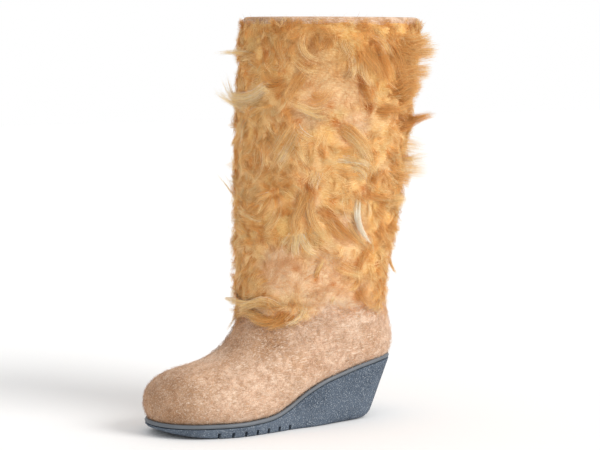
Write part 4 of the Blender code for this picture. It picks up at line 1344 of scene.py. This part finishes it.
class Nodes:
    """A small helper that builds one material's node tree."""

    def __init__(self, name):
        self.material = bpy.data.materials.new(name)
        self.material.use_nodes = True
        self.tree = self.material.node_tree
        self.shader = self.tree.nodes["Principled BSDF"]

    def fill(self, socket, value):
        """Sets a socket to a number or a colour, or links it to another socket."""
        if isinstance(value, bpy.types.NodeSocket):
            self.tree.links.new(value, socket)
        elif isinstance(value, np.ndarray):
            socket.default_value = (*map(float, value), 1.0)
        else:
            socket.default_value = value

    def add(self, kind, inputs, output, **settings):
        """A new node's output, once its inputs are filled, each by its name or number."""
        node = self.tree.nodes.new(kind)
        for key, value in settings.items():
            setattr(node, key, value)
        for key, value in inputs.items():
            self.fill(node.inputs[key], value)
        return node.outputs[output]

    def place(self):
        """The object's own coordinates."""
        return self.add("ShaderNodeTexCoord", {}, "Object")

    def tint(self):
        """The colour that add_tint gave to the mesh."""
        return self.add("ShaderNodeAttribute", {}, "Color", attribute_name="tint")

    def noise(self, scale, detail, rough, place=None, warp=0.0):
        """Noise from 0 to 1."""
        inputs = {"Vector": place or self.place(), "Scale": scale, "Detail": detail}
        inputs |= {"Roughness": rough, "Distortion": warp}
        return self.add("ShaderNodeTexNoise", inputs, "Fac")

    def fibres(self, scale, seed):
        """Tangled fibres: the strongest of three stretched noises that lie different ways."""
        best = None
        for turn in ((0.3, 0.9, 0.2), (1.4, 0.2, 1.1), (2.3, 1.7, 0.6)):
            inputs = {"Vector": self.place(), "Scale": (1.0, 0.13, 1.0)}
            inputs["Rotation"] = tuple(v + seed for v in turn)
            place = self.add("ShaderNodeMapping", inputs, "Vector")
            layer = self.noise(scale, 2.0, 0.5, place, 0.35)
            best = layer if best is None else self.math("MAXIMUM", best, layer)
        return best

    def cells(self, scale):
        """Distance to the nearest of many scattered points."""
        return self.add("ShaderNodeTexVoronoi", {"Vector": self.place(), "Scale": scale}, "Distance")

    def span(self, value, low, high, to_low=0.0, to_high=1.0):
        """A smooth step of a value from low to high, as a number from to_low to to_high."""
        inputs = {"Value": value, "From Min": low, "From Max": high, "To Min": to_low, "To Max": to_high}
        return self.add("ShaderNodeMapRange", inputs, "Result", interpolation_type="SMOOTHSTEP")

    def math(self, operation, first, second):
        return self.add("ShaderNodeMath", {0: first, 1: second}, "Value", operation=operation)

    def mix(self, share, first, second):
        """A mix of two colours, whose sockets are the node's numbers 6 and 7 in and 2 out."""
        return self.add("ShaderNodeMix", {0: share, 6: first, 7: second}, 2, data_type="RGBA")

    def layer(self, base, pattern, low, high, most, top):
        """A colour over another one where a pattern rises from low to high, at most by a share."""
        return self.mix(self.span(pattern, low, high, 0.0, most), base, top)

    def set(self, **values):
        """Fills the shader's inputs, whose names have spaces for the underscores."""
        for key, value in values.items():
            self.fill(self.shader.inputs[key.replace("_", " ")], value)

    def bump(self, height, strength, distance):
        inputs = {"Height": height, "Strength": strength, "Distance": distance}
        self.set(Normal=self.add("ShaderNodeBump", inputs, "Normal"))


def felt_material():
    nodes = Nodes("felt")
    fibres = nodes.fibres(980, 0.0)
    base = nodes.layer(nodes.tint(), nodes.noise(120, 4.0, 0.65), 0.42, 0.62, 0.6, FELT_TAN)
    base = nodes.layer(base, nodes.noise(300, 3.0, 0.7), 0.54, 0.70, 0.6, FELT_WARM)
    base = nodes.layer(base, nodes.noise(1500, 2.0, 0.6), 0.44, 0.64, 0.55, FELT_TAN * 0.72)
    base = nodes.layer(base, fibres, 0.56, 0.74, 0.62, FELT_PALE)
    nodes.set(Base_Color=base, Roughness=0.95, Sheen_Weight=0.2, Sheen_Roughness=0.6)
    nodes.set(Specular_IOR_Level=0.15, Sheen_Tint=(1.0, 0.90, 0.80, 1.0))
    lumpy = nodes.math("MULTIPLY", nodes.noise(240, 4.0, 0.65), 1.6)
    nodes.bump(nodes.math("ADD", fibres, lumpy), 0.7, 0.0008)
    return nodes.material


def mat_material():
    nodes = Nodes("fur_mat")
    streaks = nodes.fibres(1000, 0.7)
    base = nodes.layer(nodes.tint(), streaks, 0.50, 0.72, 0.35, HAIR_CREAM)
    base = nodes.layer(base, nodes.noise(900, 3.0, 0.65), 0.5, 0.7, 0.45, HAIR_ORANGE * 0.8)
    nodes.set(Base_Color=base, Roughness=0.9, Sheen_Weight=0.2, Sheen_Roughness=0.6)
    nodes.set(Specular_IOR_Level=0.15, Sheen_Tint=(1.0, 0.85, 0.65, 1.0))
    nodes.bump(nodes.math("ADD", streaks, nodes.noise(420, 4.0, 0.7)), 0.8, 0.0010)
    return nodes.material


def hair_material():
    """The hairs' material, made once: light passes through them, as through real hair."""
    made = bpy.data.materials.get("hair")
    if made is not None:
        return made
    nodes = Nodes("hair")
    base = nodes.layer(nodes.tint(), nodes.noise(380, 2.0, 0.6), 0.40, 0.66, 0.16, HAIR_ORANGE)
    nodes.set(Base_Color=base, Roughness=0.55, Sheen_Weight=0.15, Sheen_Roughness=0.5)
    nodes.set(Specular_IOR_Level=0.3, Sheen_Tint=(1.0, 0.92, 0.8, 1.0))
    through = nodes.add("ShaderNodeBsdfTranslucent", {"Color": base}, "BSDF")
    shares = {0: 0.38, 1: nodes.shader.outputs["BSDF"], 2: through}
    both = nodes.add("ShaderNodeMixShader", shares, "Shader")
    nodes.fill(nodes.tree.nodes["Material Output"].inputs["Surface"], both)
    return nodes.material


def rubber_material():
    nodes = Nodes("rubber")
    grains = nodes.noise(760, 3.0, 0.7)
    pits = nodes.cells(640)
    base = nodes.layer(RUBBER_DARK, nodes.noise(28, 4.0, 0.6), 0.35, 0.65, 1.0, RUBBER_GREY)
    base = nodes.layer(base, grains, 0.44, 0.60, 0.8, RUBBER_GREY * 1.25)
    base = nodes.layer(base, nodes.noise(1050, 2.0, 0.8), 0.55, 0.69, 0.85, RUBBER_SPECK)
    # Darker in the pits that the bump sinks: painted shade.
    base = nodes.mix(nodes.span(pits, 0.0, 0.22, 0.55, 0.0), base, RUBBER_DARK * 0.5)
    nodes.set(Base_Color=base, Roughness=0.82, Specular_IOR_Level=0.3)
    relief = nodes.math("ADD", nodes.span(pits, 0.0, 0.35), nodes.math("MULTIPLY", grains, 0.7))
    nodes.bump(relief, 0.5, 0.0005)
    return nodes.material


def welt_material():
    nodes = Nodes("welt")
    cloud = nodes.noise(40, 4.0, 0.6)
    fine = nodes.noise(500, 3.0, 0.6)
    base = nodes.layer(WELT_GREY * 0.82, cloud, 0.35, 0.65, 1.0, WELT_GREY)
    base = nodes.layer(base, fine, 0.55, 0.75, 0.3, WELT_GREY * 1.4)
    nodes.set(Base_Color=base, Roughness=nodes.span(cloud, 0.3, 0.7, 0.42, 0.6))
    nodes.set(Specular_IOR_Level=0.45)
    nodes.bump(fine, 0.18, 0.0003)
    return nodes.material


def insole_material():
    nodes = Nodes("insole")
    fibres = nodes.fibres(500, 1.3)
    base = nodes.layer(FELT_TAN * 0.8, nodes.noise(22, 3.0, 0.6), 0.35, 0.65, 1.0, FELT_PINK * 0.9)
    base = nodes.layer(base, fibres, 0.5, 0.72, 0.6, FELT_PALE)
    nodes.set(Base_Color=base, Roughness=0.95, Specular_IOR_Level=0.1)
    nodes.bump(fibres, 0.5, 0.0006)
    return nodes.material


# Stage, lights and camera


def make_stage():
    mesh = bpy.data.meshes.new("floor")
    corners = [(FLOOR_SIDE * x, FLOOR_SIDE * y, 0) for x, y in ((-1, -1), (1, -1), (1, 1), (-1, 1))]
    mesh.from_pydata(corners, [], [(0, 1, 2, 3)])
    nodes = Nodes("floor")
    nodes.set(Base_Color=(*[FLOOR_SHADE] * 3, 1.0), Roughness=0.9, Specular_IOR_Level=0.1)
    mesh.materials.append(nodes.material)
    floor = new_object("floor", mesh)


def make_sun(name, place, softness, power, tint):
    """A soft, far light that shines from a place towards the origin."""
    data = bpy.data.lights.new(name, "SUN")
    data.angle = math.radians(softness)
    data.energy = power
    data.color = tint
    light = new_object(name, data)
    light.location = place
    light.rotation_euler = Vector(place).to_track_quat("Z", "Y").to_euler()


def make_lights():
    world = bpy.data.worlds.new("studio")
    world.use_nodes = True
    tree = world.node_tree
    sky = tree.nodes["Background"]
    sky.inputs["Color"].default_value = (1.0, 1.0, 1.0, 1.0)
    path = tree.nodes.new("ShaderNodeLightPath")
    strength = tree.nodes.new("ShaderNodeMapRange")
    strength.inputs["To Min"].default_value = AMBIENT
    strength.inputs["To Max"].default_value = 1.0
    tree.links.new(path.outputs["Is Camera Ray"], strength.inputs["Value"])
    tree.links.new(strength.outputs["Result"], sky.inputs["Strength"])
    bpy.context.scene.world = world
    make_sun("key", (2.1, 1.0, 1.6), 30.0, 1.9, (1.0, 0.985, 0.96))
    bpy.context.scene.view_settings.view_transform = "Standard"


def make_camera():
    """The photograph's place, near the height of the collar, with a wider view than it had."""
    data = bpy.data.cameras.new("camera")
    data.sensor_width = 36.0
    data.lens = 116.0
    camera = new_object("camera", data)
    camera.location = PHOTOGRAPH.eye
    aim = Vector((0.0, 0.030, 0.189))
    camera.rotation_euler = (aim - camera.location).to_track_quat("-Z", "Y").to_euler()
    bpy.context.scene.camera = camera


make_felt_body()
make_wedge()
make_welt()
make_insole()
make_mat()
make_locks()
curl_random = np.random.default_rng(5)
for undercoat in ("undercoat_a", "undercoat_b"):
    make_undercoat(undercoat, curl_random)
make_nap()
make_stage()
make_lights()
make_camera()
